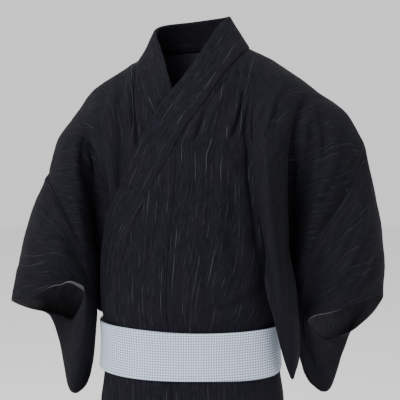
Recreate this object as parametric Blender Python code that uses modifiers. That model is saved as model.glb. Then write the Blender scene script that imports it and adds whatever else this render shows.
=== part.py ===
# Cotton yukata robe with its obi, worn: hollow, left front over right, sleeves hanging.
# Metres, +Z up. The wearer faces -Y and the wearer's left is +X. The origin is between the shoulders,
# at the height of the neck seam, where a neck and shoulders hold the robe up.
import math

import bmesh
import bpy
import numpy as np

for old in list(bpy.data.objects):
    bpy.data.objects.remove(old, do_unlink=True)
robe = bpy.data.collections.new("yukata robe")
bpy.context.scene.collection.children.link(robe)

WALL = 0.0022          # one layer of cloth with its seam allowances
BAND_WALL = 0.0030     # the collar band, folded double
PATCH_WALL = 0.0016    # the over-collar that wraps the band
SEAM = 0.0009          # half of the parting between two sewn edges
OVERLAP_LIFT = 0.011   # how far the lapped left front stands outside the right front
LAP_ANGLES = (56.0, 84.0)   # the lapped layer comes back to the body's own ring between these

OBI_TOP = -0.556
OBI_WIDTH = 0.098
OBI_WALL = 0.0030
OBI_CLEAR = 0.0031     # from the middle of the cloth to the inside of the obi
COLLAR_END = -0.604    # the band ends under the obi, and the gores widen to their free edges below it
HEM = -1.340
OBI_SECTIONS = 44
OBI_LEVELS = 4
KNOT_SECTIONS = 8
KNOT_SEAT = 0.0050     # from the middle of the cloth to the knot, past the obi
RING_POWER = 2.3       # above 2 makes an ellipse squarer

# The body's rings: height, half of its width, depth in front of and behind the centre.
RINGS = [
    # z, half_width, front, back
    (0.060, 0.095, 0.045, 0.088),
    (0.000, 0.118, 0.060, 0.100),
    (-0.050, 0.140, 0.086, 0.114),
    (-0.110, 0.168, 0.114, 0.124),
    (-0.200, 0.186, 0.138, 0.130),
    (-0.310, 0.190, 0.151, 0.130),
    (-0.430, 0.188, 0.158, 0.126),
    (-0.505, 0.186, 0.157, 0.124),
    (-0.545, 0.180, 0.143, 0.120),
    (-0.600, 0.177, 0.137, 0.119),
    (-0.660, 0.181, 0.140, 0.126),
    (-0.720, 0.190, 0.150, 0.138),
    (-0.850, 0.198, 0.158, 0.150),
    (-1.000, 0.197, 0.158, 0.154),
    (-1.180, 0.197, 0.160, 0.158),
    (-1.345, 0.201, 0.165, 0.163),
]

# The collar band from the lapped front's end, round the neck, to the end under the lap.
# On the chest only x and z are given, for the free edge and for the seam, and y follows the body.
LAPPED_COLLAR = [
    # free_x, free_z, seam_x, seam_z
    (-0.172, COLLAR_END, -0.130, COLLAR_END),
    (-0.173, -0.560, -0.134, -0.558),
    (-0.179, -0.500, -0.146, -0.494),
    (-0.176, -0.400, -0.132, -0.400),
    (-0.160, -0.318, -0.110, -0.332),
    (-0.133, -0.259, -0.087, -0.284),
    (-0.095, -0.174, -0.045, -0.202),
    (-0.065, -0.119, -0.014, -0.147),
    (-0.040, -0.082, 0.009, -0.112),
    (-0.016, -0.052, 0.031, -0.082),
]
NECK_COLLAR = [
    # free_x, free_y, free_z, seam_x, seam_y, seam_z
    (0.005, -0.079, -0.020, 0.052, -0.093, -0.054),
    (0.029, -0.058, 0.014, 0.078, -0.068, -0.024),
    (0.052, -0.026, 0.048, 0.101, -0.034, -0.002),
    (0.074, 0.014, 0.067, 0.113, 0.014, 0.006),
    (0.060, 0.064, 0.066, 0.090, 0.082, 0.004),
    (0.000, 0.090, 0.058, 0.000, 0.114, -0.002),
    (-0.062, 0.064, 0.050, -0.088, 0.080, -0.006),
    (-0.079, 0.018, 0.036, -0.104, 0.018, -0.014),
    (-0.070, -0.022, 0.010, -0.111, -0.024, -0.024),
    (-0.061, -0.047, -0.016, -0.108, -0.053, -0.043),
]
UNDER_COLLAR = [
    # free_x, free_z, seam_x, seam_z
    (-0.052, -0.048, -0.104, -0.066),
    (-0.040, -0.082, -0.090, -0.106),
    (-0.018, -0.121, -0.066, -0.150),
    (0.014, -0.174, -0.032, -0.203),
    (0.057, -0.249, 0.011, -0.277),
    (0.098, -0.331, 0.050, -0.355),
    (0.127, -0.414, 0.075, -0.430),
    (0.145, -0.500, 0.092, -0.506),
    (0.144, -0.560, 0.093, -0.562),
    (0.147, COLLAR_END, 0.095, COLLAR_END),
]
# Stations of the collar named by what meets it there.
LAPPED_TIP = 6.45      # the upper tip of the lapped front gore
NAPE = 15.0            # the centre of the back
UNDER_TIP = 23.0       # the upper tip of the under front gore
PATCH_ENDS = (5.0, 25.0)   # the over-collar runs between these

# Front gores (okumi): angle of the gore's seam and of its free edge below the collar.
LAPPED_GORE = [
    # z, seam_angle, free_angle
    (-0.178, -12.0, -50.0),
    (-0.260, -13.0, -60.0),
    (-0.340, -15.0, -65.0),
    (-0.430, -17.0, -70.0),
    (-0.530, -18.0, -75.0),
    (-0.650, -16.0, -73.0),
    (-0.900, -12.0, -68.0),
    (HEM, -6.0, -62.0),
]
UNDER_GORE = [
    # z, seam_angle, free_angle
    (-0.203, -12.6, 5.0),
    (-0.280, -1.0, 30.0),
    (-0.360, 4.0, 40.0),
    (-0.440, 8.0, 46.0),
    (-0.530, 11.0, 54.0),
    (-0.650, 12.0, 56.0),
    (-0.900, 9.0, 54.0),
    (HEM, 5.0, 52.0),
]

# Each body panel above the obi: rows from the front of the waist, over the shoulder, to the back of the
# waist. A row starts on the collar, or on the seam at height inner, and ends on the armhole.
# chest is where the front turns, fold, valley and flap are the deep folds at the armpit.
LEFT_PANEL = [
    # row, start, at, chest_xz, fold, valley, flap, edge
    ("waist", "gore", -0.525, (0.142, -0.522), (0.168, -0.098, -0.520), (0.188, -0.052, -0.520),
     (0.200, -0.052, -0.524), (0.212, -0.058, -0.530)),
    ("ribs", "gore", -0.430, (0.146, -0.466), (0.172, -0.160, -0.466), (0.203, -0.045, -0.470),
     (0.213, -0.075, -0.470), (0.221, -0.088, -0.472)),
    ("low chest", "gore", -0.345, (0.136, -0.395), (0.163, -0.169, -0.400), (0.205, -0.035, -0.410),
     (0.220, -0.088, -0.412), (0.231, -0.100, -0.420)),
    ("chest", "gore", -0.265, (0.122, -0.310), (0.155, -0.171, -0.330), (0.205, -0.038, -0.345),
     (0.231, -0.103, -0.350), (0.252, -0.102, -0.366)),
    ("high chest", "collar", LAPPED_TIP, (0.112, -0.245), (0.150, -0.168, -0.262), (0.205, -0.050, -0.278),
     (0.249, -0.113, -0.290), (0.287, -0.091, -0.316)),
    ("collar bone", "collar", 8.0, (0.107, -0.180), (0.148, -0.154, -0.198), (0.208, -0.074, -0.220),
     (0.268, -0.108, -0.236), (0.316, -0.070, -0.270)),
    ("shoulder front", "collar", 10.2, (0.112, -0.108), (0.156, -0.115, -0.130), (0.222, -0.086, -0.165),
     (0.292, -0.078, -0.184), (0.338, -0.040, -0.226)),
    ("shoulder near", "collar", 12.0, (0.138, -0.040), (0.184, -0.060, -0.062), (0.246, -0.050, -0.104),
     (0.308, -0.038, -0.140), (0.350, -0.018, -0.202)),
    ("shoulder top", "collar", 13.0, (0.160, -0.017), (0.214, 0.010, -0.052), (0.264, 0.010, -0.089),
     (0.317, 0.012, -0.128), (0.355, 0.008, -0.193)),
    ("shoulder back", "collar", 14.0, (0.146, -0.032), (0.200, 0.078, -0.070), (0.256, 0.076, -0.112),
     (0.309, 0.070, -0.158), (0.350, 0.050, -0.222)),
    ("nape", "collar", NAPE, (0.092, -0.048), (0.155, 0.124, -0.104), (0.218, 0.122, -0.162),
     (0.282, 0.110, -0.226), (0.335, 0.086, -0.284)),
    ("shoulder blade", "back", -0.130, (0.080, -0.150), (0.140, 0.137, -0.190), (0.196, 0.120, -0.236),
     (0.254, 0.114, -0.296), (0.308, 0.100, -0.352)),
    ("back", "back", -0.255, (0.078, -0.265), (0.130, 0.126, -0.296), (0.184, 0.084, -0.330),
     (0.232, 0.100, -0.374), (0.282, 0.100, -0.420)),
    ("low back", "back", -0.380, (0.076, -0.385), (0.130, 0.112, -0.405), (0.178, 0.058, -0.428),
     (0.216, 0.074, -0.454), (0.256, 0.086, -0.482)),
    ("back waist", "back", -0.500, (0.076, -0.505), (0.130, 0.098, -0.515), (0.172, 0.056, -0.526),
     (0.200, 0.046, -0.532), (0.224, 0.050, -0.536)),
]
RIGHT_PANEL = [
    # row, start, at, chest_xz, fold, valley, flap, edge
    ("waist", "gore", -0.525, (-0.140, -0.525), (-0.164, -0.068, -0.525), (-0.181, -0.034, -0.525),
     (-0.190, -0.024, -0.528), (-0.199, -0.030, -0.532)),
    ("ribs", "gore", -0.440, (-0.142, -0.466), (-0.168, -0.070, -0.466), (-0.191, -0.014, -0.466),
     (-0.199, -0.038, -0.468), (-0.204, -0.062, -0.472)),
    ("low chest", "gore", -0.360, (-0.144, -0.405), (-0.168, -0.072, -0.410), (-0.197, -0.008, -0.415),
     (-0.207, -0.060, -0.420), (-0.216, -0.084, -0.428)),
    ("chest", "gore", -0.280, (-0.142, -0.345), (-0.166, -0.078, -0.350), (-0.200, -0.006, -0.358),
     (-0.214, -0.074, -0.366), (-0.230, -0.090, -0.382)),
    ("high chest", "collar", UNDER_TIP, (-0.142, -0.285), (-0.166, -0.087, -0.290), (-0.203, -0.014, -0.302),
     (-0.224, -0.084, -0.318), (-0.249, -0.086, -0.345)),
    ("collar bone", "collar", 22.0, (-0.136, -0.225), (-0.180, -0.098, -0.236), (-0.206, -0.030, -0.250),
     (-0.236, -0.086, -0.268), (-0.270, -0.071, -0.305)),
    ("upper chest", "collar", 21.0, (-0.130, -0.165), (-0.186, -0.100, -0.182), (-0.211, -0.056, -0.200),
     (-0.248, -0.078, -0.222), (-0.287, -0.046, -0.274)),
    ("shoulder front", "collar", 19.6, (-0.142, -0.092), (-0.190, -0.074, -0.118), (-0.220, -0.062, -0.150),
     (-0.262, -0.048, -0.188), (-0.296, -0.022, -0.258)),
    ("shoulder top", "collar", 17.0, (-0.152, -0.046), (-0.205, 0.012, -0.081), (-0.238, 0.012, -0.124),
     (-0.281, 0.012, -0.184), (-0.300, 0.004, -0.252)),
    ("shoulder back", "collar", 16.0, (-0.140, -0.052), (-0.192, 0.080, -0.092), (-0.226, 0.080, -0.134),
     (-0.270, 0.072, -0.196), (-0.301, 0.044, -0.268)),
    ("nape", "collar", NAPE, (-0.090, -0.056), (-0.148, 0.124, -0.112), (-0.198, 0.122, -0.166),
     (-0.252, 0.110, -0.230), (-0.294, 0.080, -0.310)),
    ("shoulder blade", "back", -0.130, (-0.080, -0.150), (-0.138, 0.137, -0.192), (-0.188, 0.120, -0.240),
     (-0.238, 0.112, -0.302), (-0.280, 0.098, -0.368)),
    ("back", "back", -0.255, (-0.078, -0.265), (-0.130, 0.126, -0.296), (-0.180, 0.086, -0.332),
     (-0.222, 0.098, -0.380), (-0.262, 0.098, -0.430)),
    ("low back", "back", -0.380, (-0.076, -0.385), (-0.130, 0.112, -0.405), (-0.176, 0.058, -0.428),
     (-0.208, 0.072, -0.456), (-0.242, 0.082, -0.488)),
    ("back waist", "back", -0.500, (-0.076, -0.505), (-0.130, 0.098, -0.515), (-0.170, 0.056, -0.526),
     (-0.194, 0.044, -0.532), (-0.216, 0.046, -0.537)),
]
# How far back the chest point lies in the rows that pass over the shoulder, off the body's rings.
SHOULDER_DEPTHS = {"shoulder near": -0.056, "shoulder top": 0.012, "shoulder back": 0.079}
BELOW_OBI = (-0.549, -0.575, COLLAR_END - 0.001, COLLAR_END - 0.008,
             -0.640, -0.680, -0.730, -0.860, -1.010, -1.180, HEM)

# The fold at the wearer's left that hangs over the obi, below the panel's rows that it grows out of.
HANGING_FOLD = [
    # row, inner_edge, crest, outer_edge
    ("waist", (0.150, -0.144, -0.510), (0.177, -0.160, -0.510), (0.197, -0.112, -0.510)),
    ("obi", (0.164, -0.118, -0.565), (0.183, -0.141, -0.565), (0.199, -0.098, -0.565)),
    ("low obi", (0.180, -0.099, -0.612), (0.191, -0.120, -0.612), (0.202, -0.088, -0.612)),
    ("tip", (0.196, -0.083, -0.652), (0.199, -0.100, -0.653), (0.205, -0.083, -0.652)),
]
FOLD_ROWS = (2, 3, 4)          # rows of the left panel that the fold grows out of, up from the waist
FOLD_COLUMNS = (4, 5, 6, 7, 8, 9)   # columns of the panel where it does
FOLD_LIFT = (0.0030, 0.0050)   # how far it lies outside the panel there, and how far further forward

# Sleeve sections between armhole and cuff, each round from the top fold down the front, past the lower
# seam and up the back.
LEFT_SLEEVE = [
    # point, armhole_tip, upper, lower, cuff
    ("top", None, (0.384, -0.010, -0.332), (0.394, -0.034, -0.425), (0.391, -0.045, -0.500)),
    ("front high", None, (0.342, -0.104, -0.350), (0.352, -0.110, -0.430), (0.337, -0.108, -0.503)),
    ("front middle", None, (0.276, -0.120, -0.410), (0.291, -0.132, -0.453), (0.280, -0.134, -0.516)),
    ("front low", None, (0.222, -0.066, -0.539), (0.228, -0.065, -0.547), (0.233, -0.118, -0.536)),
    ("lower seam", (0.224, 0.000, -0.640), (0.245, 0.004, -0.694), (0.283, 0.011, -0.714),
     (0.272, -0.024, -0.593)),
    ("back low", None, (0.276, 0.066, -0.600), (0.322, 0.056, -0.640), (0.300, 0.016, -0.602)),
    ("back middle", None, (0.326, 0.104, -0.460), (0.354, 0.082, -0.530), (0.336, 0.036, -0.594)),
    ("back high", None, (0.372, 0.066, -0.350), (0.388, 0.040, -0.450), (0.376, 0.022, -0.556)),
]
RIGHT_SLEEVE = [
    # point, armhole_tip, upper, lower, cuff
    ("top", None, (-0.336, -0.012, -0.334), (-0.359, -0.036, -0.430), (-0.374, -0.056, -0.508)),
    ("front high", None, (-0.305, -0.092, -0.350), (-0.322, -0.108, -0.420), (-0.325, -0.116, -0.490)),
    ("front middle", None, (-0.254, -0.110, -0.385), (-0.261, -0.129, -0.411), (-0.258, -0.134, -0.457)),
    ("front low", None, (-0.205, -0.055, -0.518), (-0.208, -0.068, -0.512), (-0.217, -0.122, -0.474)),
    ("lower seam", (-0.212, 0.006, -0.650), (-0.228, 0.004, -0.702), (-0.257, -0.010, -0.706),
     (-0.249, -0.025, -0.552)),
    ("back low", None, (-0.248, 0.066, -0.590), (-0.286, 0.050, -0.620), (-0.278, 0.020, -0.556)),
    ("back middle", None, (-0.288, 0.100, -0.460), (-0.312, 0.078, -0.516), (-0.312, 0.036, -0.552)),
    ("back high", None, (-0.326, 0.062, -0.360), (-0.346, 0.038, -0.450), (-0.350, 0.018, -0.540)),
]
SLEEVE_STEPS = 9
ARMHOLE_GAP = 0.0017   # parting of a sleeve from its armhole, where the cloth turns
GORE_COLUMNS = 4
TIP_SHARES = (0.6, 0.35)   # how far up the last step to its tip the lapped and the under gore are built
BAG_POINTS = 5         # extra points of the armhole ring past the armhole's two lower ends


def smooth_step(a, b, value):
    t = min(1.0, max(0.0, (value - a) / (b - a)))
    return t * t * (3 - 2 * t)


def along(points, at):
    """Point at a fractional index of a smooth curve through points."""
    points = np.asarray(points, dtype=float)
    last = len(points) - 1
    i = min(last - 1, max(0, int(math.floor(at))))
    t = at - i
    b, c = points[i], points[i + 1]
    a = points[i - 1] if i > 0 else 2 * b - c
    d = points[i + 2] if i + 2 <= last else 2 * c - b
    return 0.5 * (2 * b + (c - a) * t + (2 * a - 5 * b + 4 * c - d) * t**2 + (3 * b - a - 3 * c + d) * t**3)


def ring_sizes(z):
    """Half width, front and back depth of the body at a height."""
    heights = [row[0] for row in RINGS]
    z = min(heights[0], max(heights[-1], z))
    i = max(k for k in range(len(RINGS) - 1) if heights[k] >= z)
    at = i + (heights[i] - z) / (heights[i] - heights[i + 1])
    return along([row[1:] for row in RINGS], at)


def body_point(angle, z, lift=0.0):
    """Point of the body's ring. The angle is in degrees, 0 in front and 90 at the wearer's left."""
    half_width, front, back = ring_sizes(z)
    s, c = math.sin(math.radians(angle)), math.cos(math.radians(angle))
    depth = front if c > 0 else back
    r = (abs(s / half_width) ** RING_POWER + abs(c / depth) ** RING_POWER) ** (-1 / RING_POWER) + lift
    return np.array([r * s, -r * c, z])


def body_angle(x, z, back=False):
    """Angle at which the ring at height z reaches x."""
    low, high = -90.0, 90.0
    for _ in range(40):
        middle = (low + high) / 2
        if body_point(middle, z)[0] < x:
            low = middle
        else:
            high = middle
    return 180.0 - low if back else low


def on_body(x, z, lift=0.0, back=False):
    return body_point(body_angle(x, z, back), z, lift)


def lap_lift(angle):
    """Height of the lapped layer over the body's ring at an angle."""
    a = (angle + 180.0) % 360.0 - 180.0
    return OVERLAP_LIFT * (1 - smooth_step(*LAP_ANGLES, a)) * (1 - smooth_step(84.0, 112.0, -a))


def collar_rows():
    """Free edge and seam of the collar band at each station."""
    rows = []
    for free_x, free_z, seam_x, seam_z in LAPPED_COLLAR:
        rows.append((on_body(free_x, free_z, OVERLAP_LIFT), on_body(seam_x, seam_z, OVERLAP_LIFT)))
    for row in NECK_COLLAR:
        rows.append((np.array(row[:3]), np.array(row[3:])))
    for free_x, free_z, seam_x, seam_z in UNDER_COLLAR:
        rows.append((on_body(free_x, free_z), on_body(seam_x, seam_z)))
    return rows


COLLAR = collar_rows()
COLLAR_FREE = [row[0] for row in COLLAR]
COLLAR_SEAM = [row[1] for row in COLLAR]


def unit(v):
    return v / np.linalg.norm(v)


def collar_frame(at):
    """Free edge, direction across to the seam, width and outward normal of the band at a station."""
    free, seam = along(COLLAR_FREE, at), along(COLLAR_SEAM, at)
    low, high = max(0.0, at - 0.2), min(len(COLLAR) - 1.0, at + 0.2)
    run = along(COLLAR_FREE, high) + along(COLLAR_SEAM, high) - along(COLLAR_FREE, low) - along(COLLAR_SEAM, low)
    across = seam - free
    width = np.linalg.norm(across)
    across = across / width
    normal = unit(np.cross(across, run))
    return free, across, width, normal


def collar_seam(at):
    """Where a panel's edge meets the band, parted by the seam."""
    free, across, width, normal = collar_frame(at)
    return free + across * (width + SEAM)


def gore_edge(table, z, column):
    """Angle of a front gore's seam (column 1) or free edge (column 2) at a height."""
    heights = [row[0] for row in table]
    z = min(heights[0], max(heights[-1], z))
    i = max(k for k in range(len(table) - 1) if heights[k] >= z)
    at = i + (heights[i] - z) / (heights[i] - heights[i + 1])
    return float(along([(row[column],) for row in table], at)[0])


def new_object(name, vertices, faces, colour, wall=0.0):
    mesh = bpy.data.meshes.new(name)
    mesh.from_pydata([tuple(float(c) for c in v) for v in vertices], [], faces)
    bm = bmesh.new()
    bm.from_mesh(mesh)
    if wall:
        bmesh.ops.triangulate(bm, faces=bm.faces, quad_method="BEAUTY")
    bmesh.ops.recalc_face_normals(bm, faces=bm.faces)
    bm.to_mesh(mesh)
    bm.free()
    mesh.shade_smooth()
    obj = bpy.data.objects.new(name, mesh)
    robe.objects.link(obj)
    mesh.materials.append(colour)
    if wall:
        thick = obj.modifiers.new("wall", "SOLIDIFY")
        thick.thickness = wall
        thick.offset = 0.0
    return obj


def sheet(name, rows, colour, closed=False, wall=WALL):
    """A wall of cloth on a grid of points, open or closed round each row."""
    across = len(rows[0])
    vertices = [p for row in rows for p in row]
    faces = []
    for i in range(len(rows) - 1):
        for j in range(across if closed else across - 1):
            k = (j + 1) % across
            faces.append((i * across + j, i * across + k, (i + 1) * across + k, (i + 1) * across + j))
    return new_object(name, vertices, faces, colour, wall)


def swept(name, sections, colour, returning, closed_run=False):
    """A closed solid through closed sections, capped at both ends unless it runs round. The sides listed
    in returning run back across the strip, so their diagonals are turned to match the other wall."""
    count = len(sections[0])
    vertices = [p for section in sections for p in section]
    faces = []
    runs = len(sections) if closed_run else len(sections) - 1
    for i in range(runs):
        n = (i + 1) % len(sections)
        for j in range(count):
            k = (j + 1) % count
            a, b, c, d = i * count + j, i * count + k, n * count + k, n * count + j
            if j in returning:
                faces += [(a, b, d), (b, c, d)]
            else:
                faces += [(a, b, c), (a, c, d)]
    if not closed_run:
        faces.append(tuple(range(count))[::-1])
        faces.append(tuple((len(sections) - 1) * count + j for j in range(count)))
    return new_object(name, vertices, faces, colour)


# Body panels

COLUMN_SHARES = (4, 3, 3, 3, 2)   # faces between start, chest, fold, valley, flap and edge


def panel_row(row, side, gore, lapped):
    """One row of a body panel, from collar, gore seam or back seam to the armhole."""
    name, start, at, chest, fold, valley, flap, edge = row
    back = start == "back" or name == "nape"
    if start == "collar":
        first = collar_seam(at)
    elif start == "gore":
        angle = gore_edge(gore, at, 1) + math.degrees(SEAM / 0.15) * side
        first = body_point(angle, at, lap_lift(angle) if lapped else 0.0)
    else:
        first = body_point(180.0, at)
    if back:
        first = first + np.array([side * SEAM, 0.0, 0.0])
    if name in SHOULDER_DEPTHS:
        chest_point = np.array([chest[0], SHOULDER_DEPTHS[name], chest[1]])
        points = [first * (1 - k / COLUMN_SHARES[0]) + chest_point * k / COLUMN_SHARES[0]
                  for k in range(COLUMN_SHARES[0])]
    else:
        points = on_ring_between(first, chest, back, side, lapped)
        chest_point = points.pop()
    control = [points[-1], chest_point, fold, valley, flap, edge]
    for i, share in enumerate(COLUMN_SHARES[1:]):
        points += [along(control, 1 + i + k / share) for k in range(share)]
    return points + [np.asarray(edge, dtype=float)]


def on_ring_between(first, chest, back, side, lapped):
    """Points that follow the body's rings from the row's start to where the front turns."""
    count = COLUMN_SHARES[0]
    start_angle = math.degrees(math.atan2(first[0], -first[1]))
    if back:
        start_angle = side * abs(start_angle)
    end_angle = body_angle(chest[0], chest[1], back)
    if back and side < 0:
        end_angle = end_angle - 360.0
    lift = lap_lift(start_angle) if lapped and not back else 0.0
    miss = first - body_point(start_angle, first[2], lift)
    points = []
    for k in range(count + 1):
        t = k / count
        angle = start_angle + (end_angle - start_angle) * t
        lift = lap_lift(angle) if lapped and not back else 0.0
        points.append(body_point(angle, first[2] * (1 - t) + chest[1] * t, lift) + miss * (1 - t))
    return points


def skirt_row(z, start_angle, turn_angle, end_angle, lapped):
    """One row of a panel on the body's ring, with the front's or back's turn at turn_angle."""
    first, rest = COLUMN_SHARES[0], sum(COLUMN_SHARES[1:])
    angles = [start_angle + (turn_angle - start_angle) * j / first for j in range(first)]
    angles += [turn_angle + (end_angle - turn_angle) * j / rest for j in range(rest + 1)]
    return [body_point(a, z, lap_lift(a) if lapped else 0.0) for a in angles]


def refine(rows, pieces):
    """More rows on smooth curves through the given rows, and the index of each."""
    steps = []
    for i, piece in enumerate(pieces):
        steps += [i + k / piece for k in range(piece)]
    steps.append(len(rows) - 1)
    columns = [[row[j] for row in rows] for j in range(len(rows[0]))]
    return [[along(column, at) for column in columns] for at in steps], steps


def pull_edge(row, first):
    """Moves the start of a row onto its seam and eases the move out over the first stretch."""
    miss = first - row[0]
    for j in range(COLUMN_SHARES[0]):
        row[j] = row[j] + miss * (1 - j / COLUMN_SHARES[0])


def body_panel(side, table, gore, lapped):
    """Rows of one panel up the front, over the shoulder and down the back, its armhole points, the
    points along its gore seam and the collar stations that it meets."""
    part = math.degrees(SEAM / 0.19)
    turn_front, turn_back = side * 48.0, side * 150.0
    front = []
    for z in reversed(BELOW_OBI):
        start = gore_edge(gore, z, 1) + math.degrees(SEAM / 0.15) * side
        front.append(skirt_row(z, start, turn_front, side * (90.0 - part), lapped))
    upper = [panel_row(row, side, gore, lapped) for row in table]
    back = []
    for z in BELOW_OBI:
        back.append(skirt_row(z, side * (180.0 - part), turn_back, side * (90.0 + part), False))
    rows = front + upper + back
    pieces = [1] * (len(front) - 1) + [2] + [3 if row[1] == "collar" else 2 for row in table[:-1]] + [1] * len(back)
    fine, steps = refine(rows, pieces)
    low, high = len(front), len(front) + len(upper) - 1
    first_collar = low + next(k for k, row in enumerate(table) if row[1] == "collar")
    nape = low + next(k for k, row in enumerate(table) if row[0] == "nape")
    stations = [row[2] for row in table[first_collar - low:nape - low + 1]]
    armhole, seam_points, met = [], [], []
    for k, at in enumerate(steps):
        if low <= at <= high:
            armhole.append(fine[k][-1])
        if at < first_collar:
            z = fine[k][0][2]
            angle = gore_edge(gore, z, 1) + math.degrees(SEAM / 0.15) * side
            pull_edge(fine[k], body_point(angle, z, lap_lift(angle) if lapped else 0.0))
            seam_points.append(fine[k][0])
        elif at <= nape:
            station = float(along([(c,) for c in stations], at - first_collar)[0])
            edge = collar_seam(station)
            if abs(station - NAPE) < 0.5:
                edge[0] = side * max(side * edge[0], SEAM)
            pull_edge(fine[k], edge)
            met.append(station)
        else:
            edge = np.array(fine[k][0])
            edge[0] = side * SEAM
            pull_edge(fine[k], edge)
    return fine, armhole, seam_points, met


# Sleeves

def ring_through(points, fractions):
    """Points at fractions of the length of a closed smooth curve, from its first point."""
    closed = np.array([points[-1]] + list(points) + [points[0], points[1]], dtype=float)
    fine = [along(closed, 1 + k / 12) for k in range(12 * len(points) + 1)]
    lengths = [0.0]
    for a, b in zip(fine, fine[1:]):
        lengths.append(lengths[-1] + np.linalg.norm(b - a))
    found = []
    for f in fractions:
        target = f * lengths[-1]
        k = max(i for i in range(len(lengths) - 1) if lengths[i] <= target + 1e-12)
        t = (target - lengths[k]) / (lengths[k + 1] - lengths[k])
        found.append(fine[k] * (1 - t) + fine[k + 1] * t)
    return found


def half_fractions(points, start, end):
    """Share of the way along a run of points, scaled to lie between start and end."""
    lengths = [0.0]
    for a, b in zip(points, points[1:]):
        lengths.append(lengths[-1] + np.linalg.norm(np.asarray(b) - np.asarray(a)))
    return [start + (end - start) * v / lengths[-1] for v in lengths]


def seam_fraction(points):
    """Share of a ring's length at which its lower seam lies, the fifth of its points."""
    closed = np.array([points[-1]] + list(points) + [points[0], points[1]], dtype=float)
    fine = [along(closed, 1 + k / 12) for k in range(12 * len(points) + 1)]
    lengths = [0.0]
    for a, b in zip(fine, fine[1:]):
        lengths.append(lengths[-1] + np.linalg.norm(b - a))
    return lengths[4 * 12] / lengths[-1]


def sleeve_rows(table, armhole):
    """Rings of a sleeve from the armhole, whose points are the panel's own, to the cuff."""
    top = min(range(len(armhole)), key=lambda k: -armhole[k][2])
    tip = np.array(table[4][1])
    front_low, back_low = armhole[0], armhole[-1]
    bag = [along([armhole[1], front_low, tip, back_low, armhole[-2]], 1 + 2 * k / (BAG_POINTS + 1))
           for k in range(1, BAG_POINTS + 1)]
    ring = armhole[top::-1] + bag + armhole[:top:-1]
    tip_index = top + 1 + BAG_POINTS // 2
    rings = [ring]
    for column in (2, 3, 4):
        points = [row[column] for row in table]
        seam = seam_fraction(points)
        front = half_fractions(ring[:tip_index + 1], 0.0, seam)
        back = half_fractions(ring[tip_index:] + [ring[0]], seam, 1.0)
        rings.append(ring_through(points, front + back[1:-1]))
    steps = [3.0 * k / SLEEVE_STEPS for k in range(1, SLEEVE_STEPS + 1)]
    columns = [[r[j] for r in rings] for j in range(len(ring))]
    rows = [[along(column, at) for column in columns] for at in steps]
    return [parted_ring(ring, rows[0])] + rows


def parted_ring(ring, following):
    """The armhole's ring moved off its seam, square to the seam and towards the next ring."""
    moved = []
    for j, point in enumerate(ring):
        run = unit(ring[(j + 1) % len(ring)] - ring[j - 1])
        away = following[j] - point
        moved.append(point + unit(away - run * np.dot(away, run)) * ARMHOLE_GAP)
    return moved


# Front gores

def station_at_height(z, lapped):
    """Collar station on the chest whose seam lies at a height."""
    low, high = (0.0, LAPPED_TIP) if lapped else (UNDER_TIP, len(COLLAR) - 1.0)
    for _ in range(40):
        middle = (low + high) / 2
        below = along(COLLAR_SEAM, middle)[2] < z
        if below == lapped:
            low = middle
        else:
            high = middle
    return low


def gore_rows(table, lapped, side, seam_points):
    """Rows of a front gore from the hem to its upper tip on the collar, and the stations it meets."""
    rows, met = [], []
    tip = collar_seam(LAPPED_TIP if lapped else UNDER_TIP)
    share = TIP_SHARES[0] if lapped else TIP_SHARES[1]
    near_tip = seam_points[-1] * (1 - share) + tip * share
    for point in seam_points + [near_tip]:
        z = point[2]
        angle = math.degrees(math.atan2(point[0], -point[1]))
        start = angle - math.degrees(2 * SEAM / 0.15) * side
        if z > COLLAR_END - 0.002:
            station = station_at_height(z, lapped)
            edge = collar_seam(station)
            edge[2] = min(edge[2], z)
            met.append(station)
            end = math.degrees(math.atan2(edge[0], -edge[1]))
        else:
            edge = None
            end = gore_edge(table, z, 2)
        across = [start + (end - start) * j / GORE_COLUMNS for j in range(GORE_COLUMNS + 1)]
        row = [body_point(a, z, lap_lift(a) if lapped else 0.0) for a in across]
        if edge is not None:
            row[-1] = edge
        rows.append(row)
    return rows, met


# Collar

def collar_band(stations, colour):
    sections = []
    for at in stations:
        free, across, width, normal = collar_frame(at)
        half = normal * BAND_WALL / 2
        sections.append([free - half, free + across * width - half, free + across * width + half, free + half])
    return swept("collar_band", sections, colour, (0, 1))


def over_collar(stations, colour):
    """The second layer that is wrapped round the band's free edge, seen on both faces."""
    sections = []
    gap = 0.0007
    inner = BAND_WALL / 2 + gap
    outer = inner + PATCH_WALL
    for at in stations:
        free, across, width, normal = collar_frame(at)
        short = width - 0.0012
        profile = [(short, -outer), (-gap - PATCH_WALL, -outer), (-gap - PATCH_WALL, outer), (short, outer),
                   (short, inner), (-gap, inner), (-gap, -inner), (short, -inner)]
        sections.append([free + across * a + normal * b for a, b in profile])
    return swept("over_collar", sections, colour, (2, 3, 6, 7))


# Obi

def obi_point(angle, z, lift):
    return body_point(angle, z, lap_lift(angle) + OBI_CLEAR + lift)


def obi_ring(colour):
    sections = []
    for k in range(OBI_SECTIONS):
        angle = -180.0 + 360.0 * k / OBI_SECTIONS
        heights = [OBI_TOP - OBI_WIDTH * j / OBI_LEVELS for j in range(OBI_LEVELS + 1)]
        inside = [obi_point(angle, z, 0.0) for z in heights]
        outside = [obi_point(angle, z, OBI_WALL) for z in reversed(heights)]
        sections.append(inside + outside)
    return swept("obi", sections, colour, range(OBI_LEVELS + 1, 2 * OBI_LEVELS + 2), closed_run=True)


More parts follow.
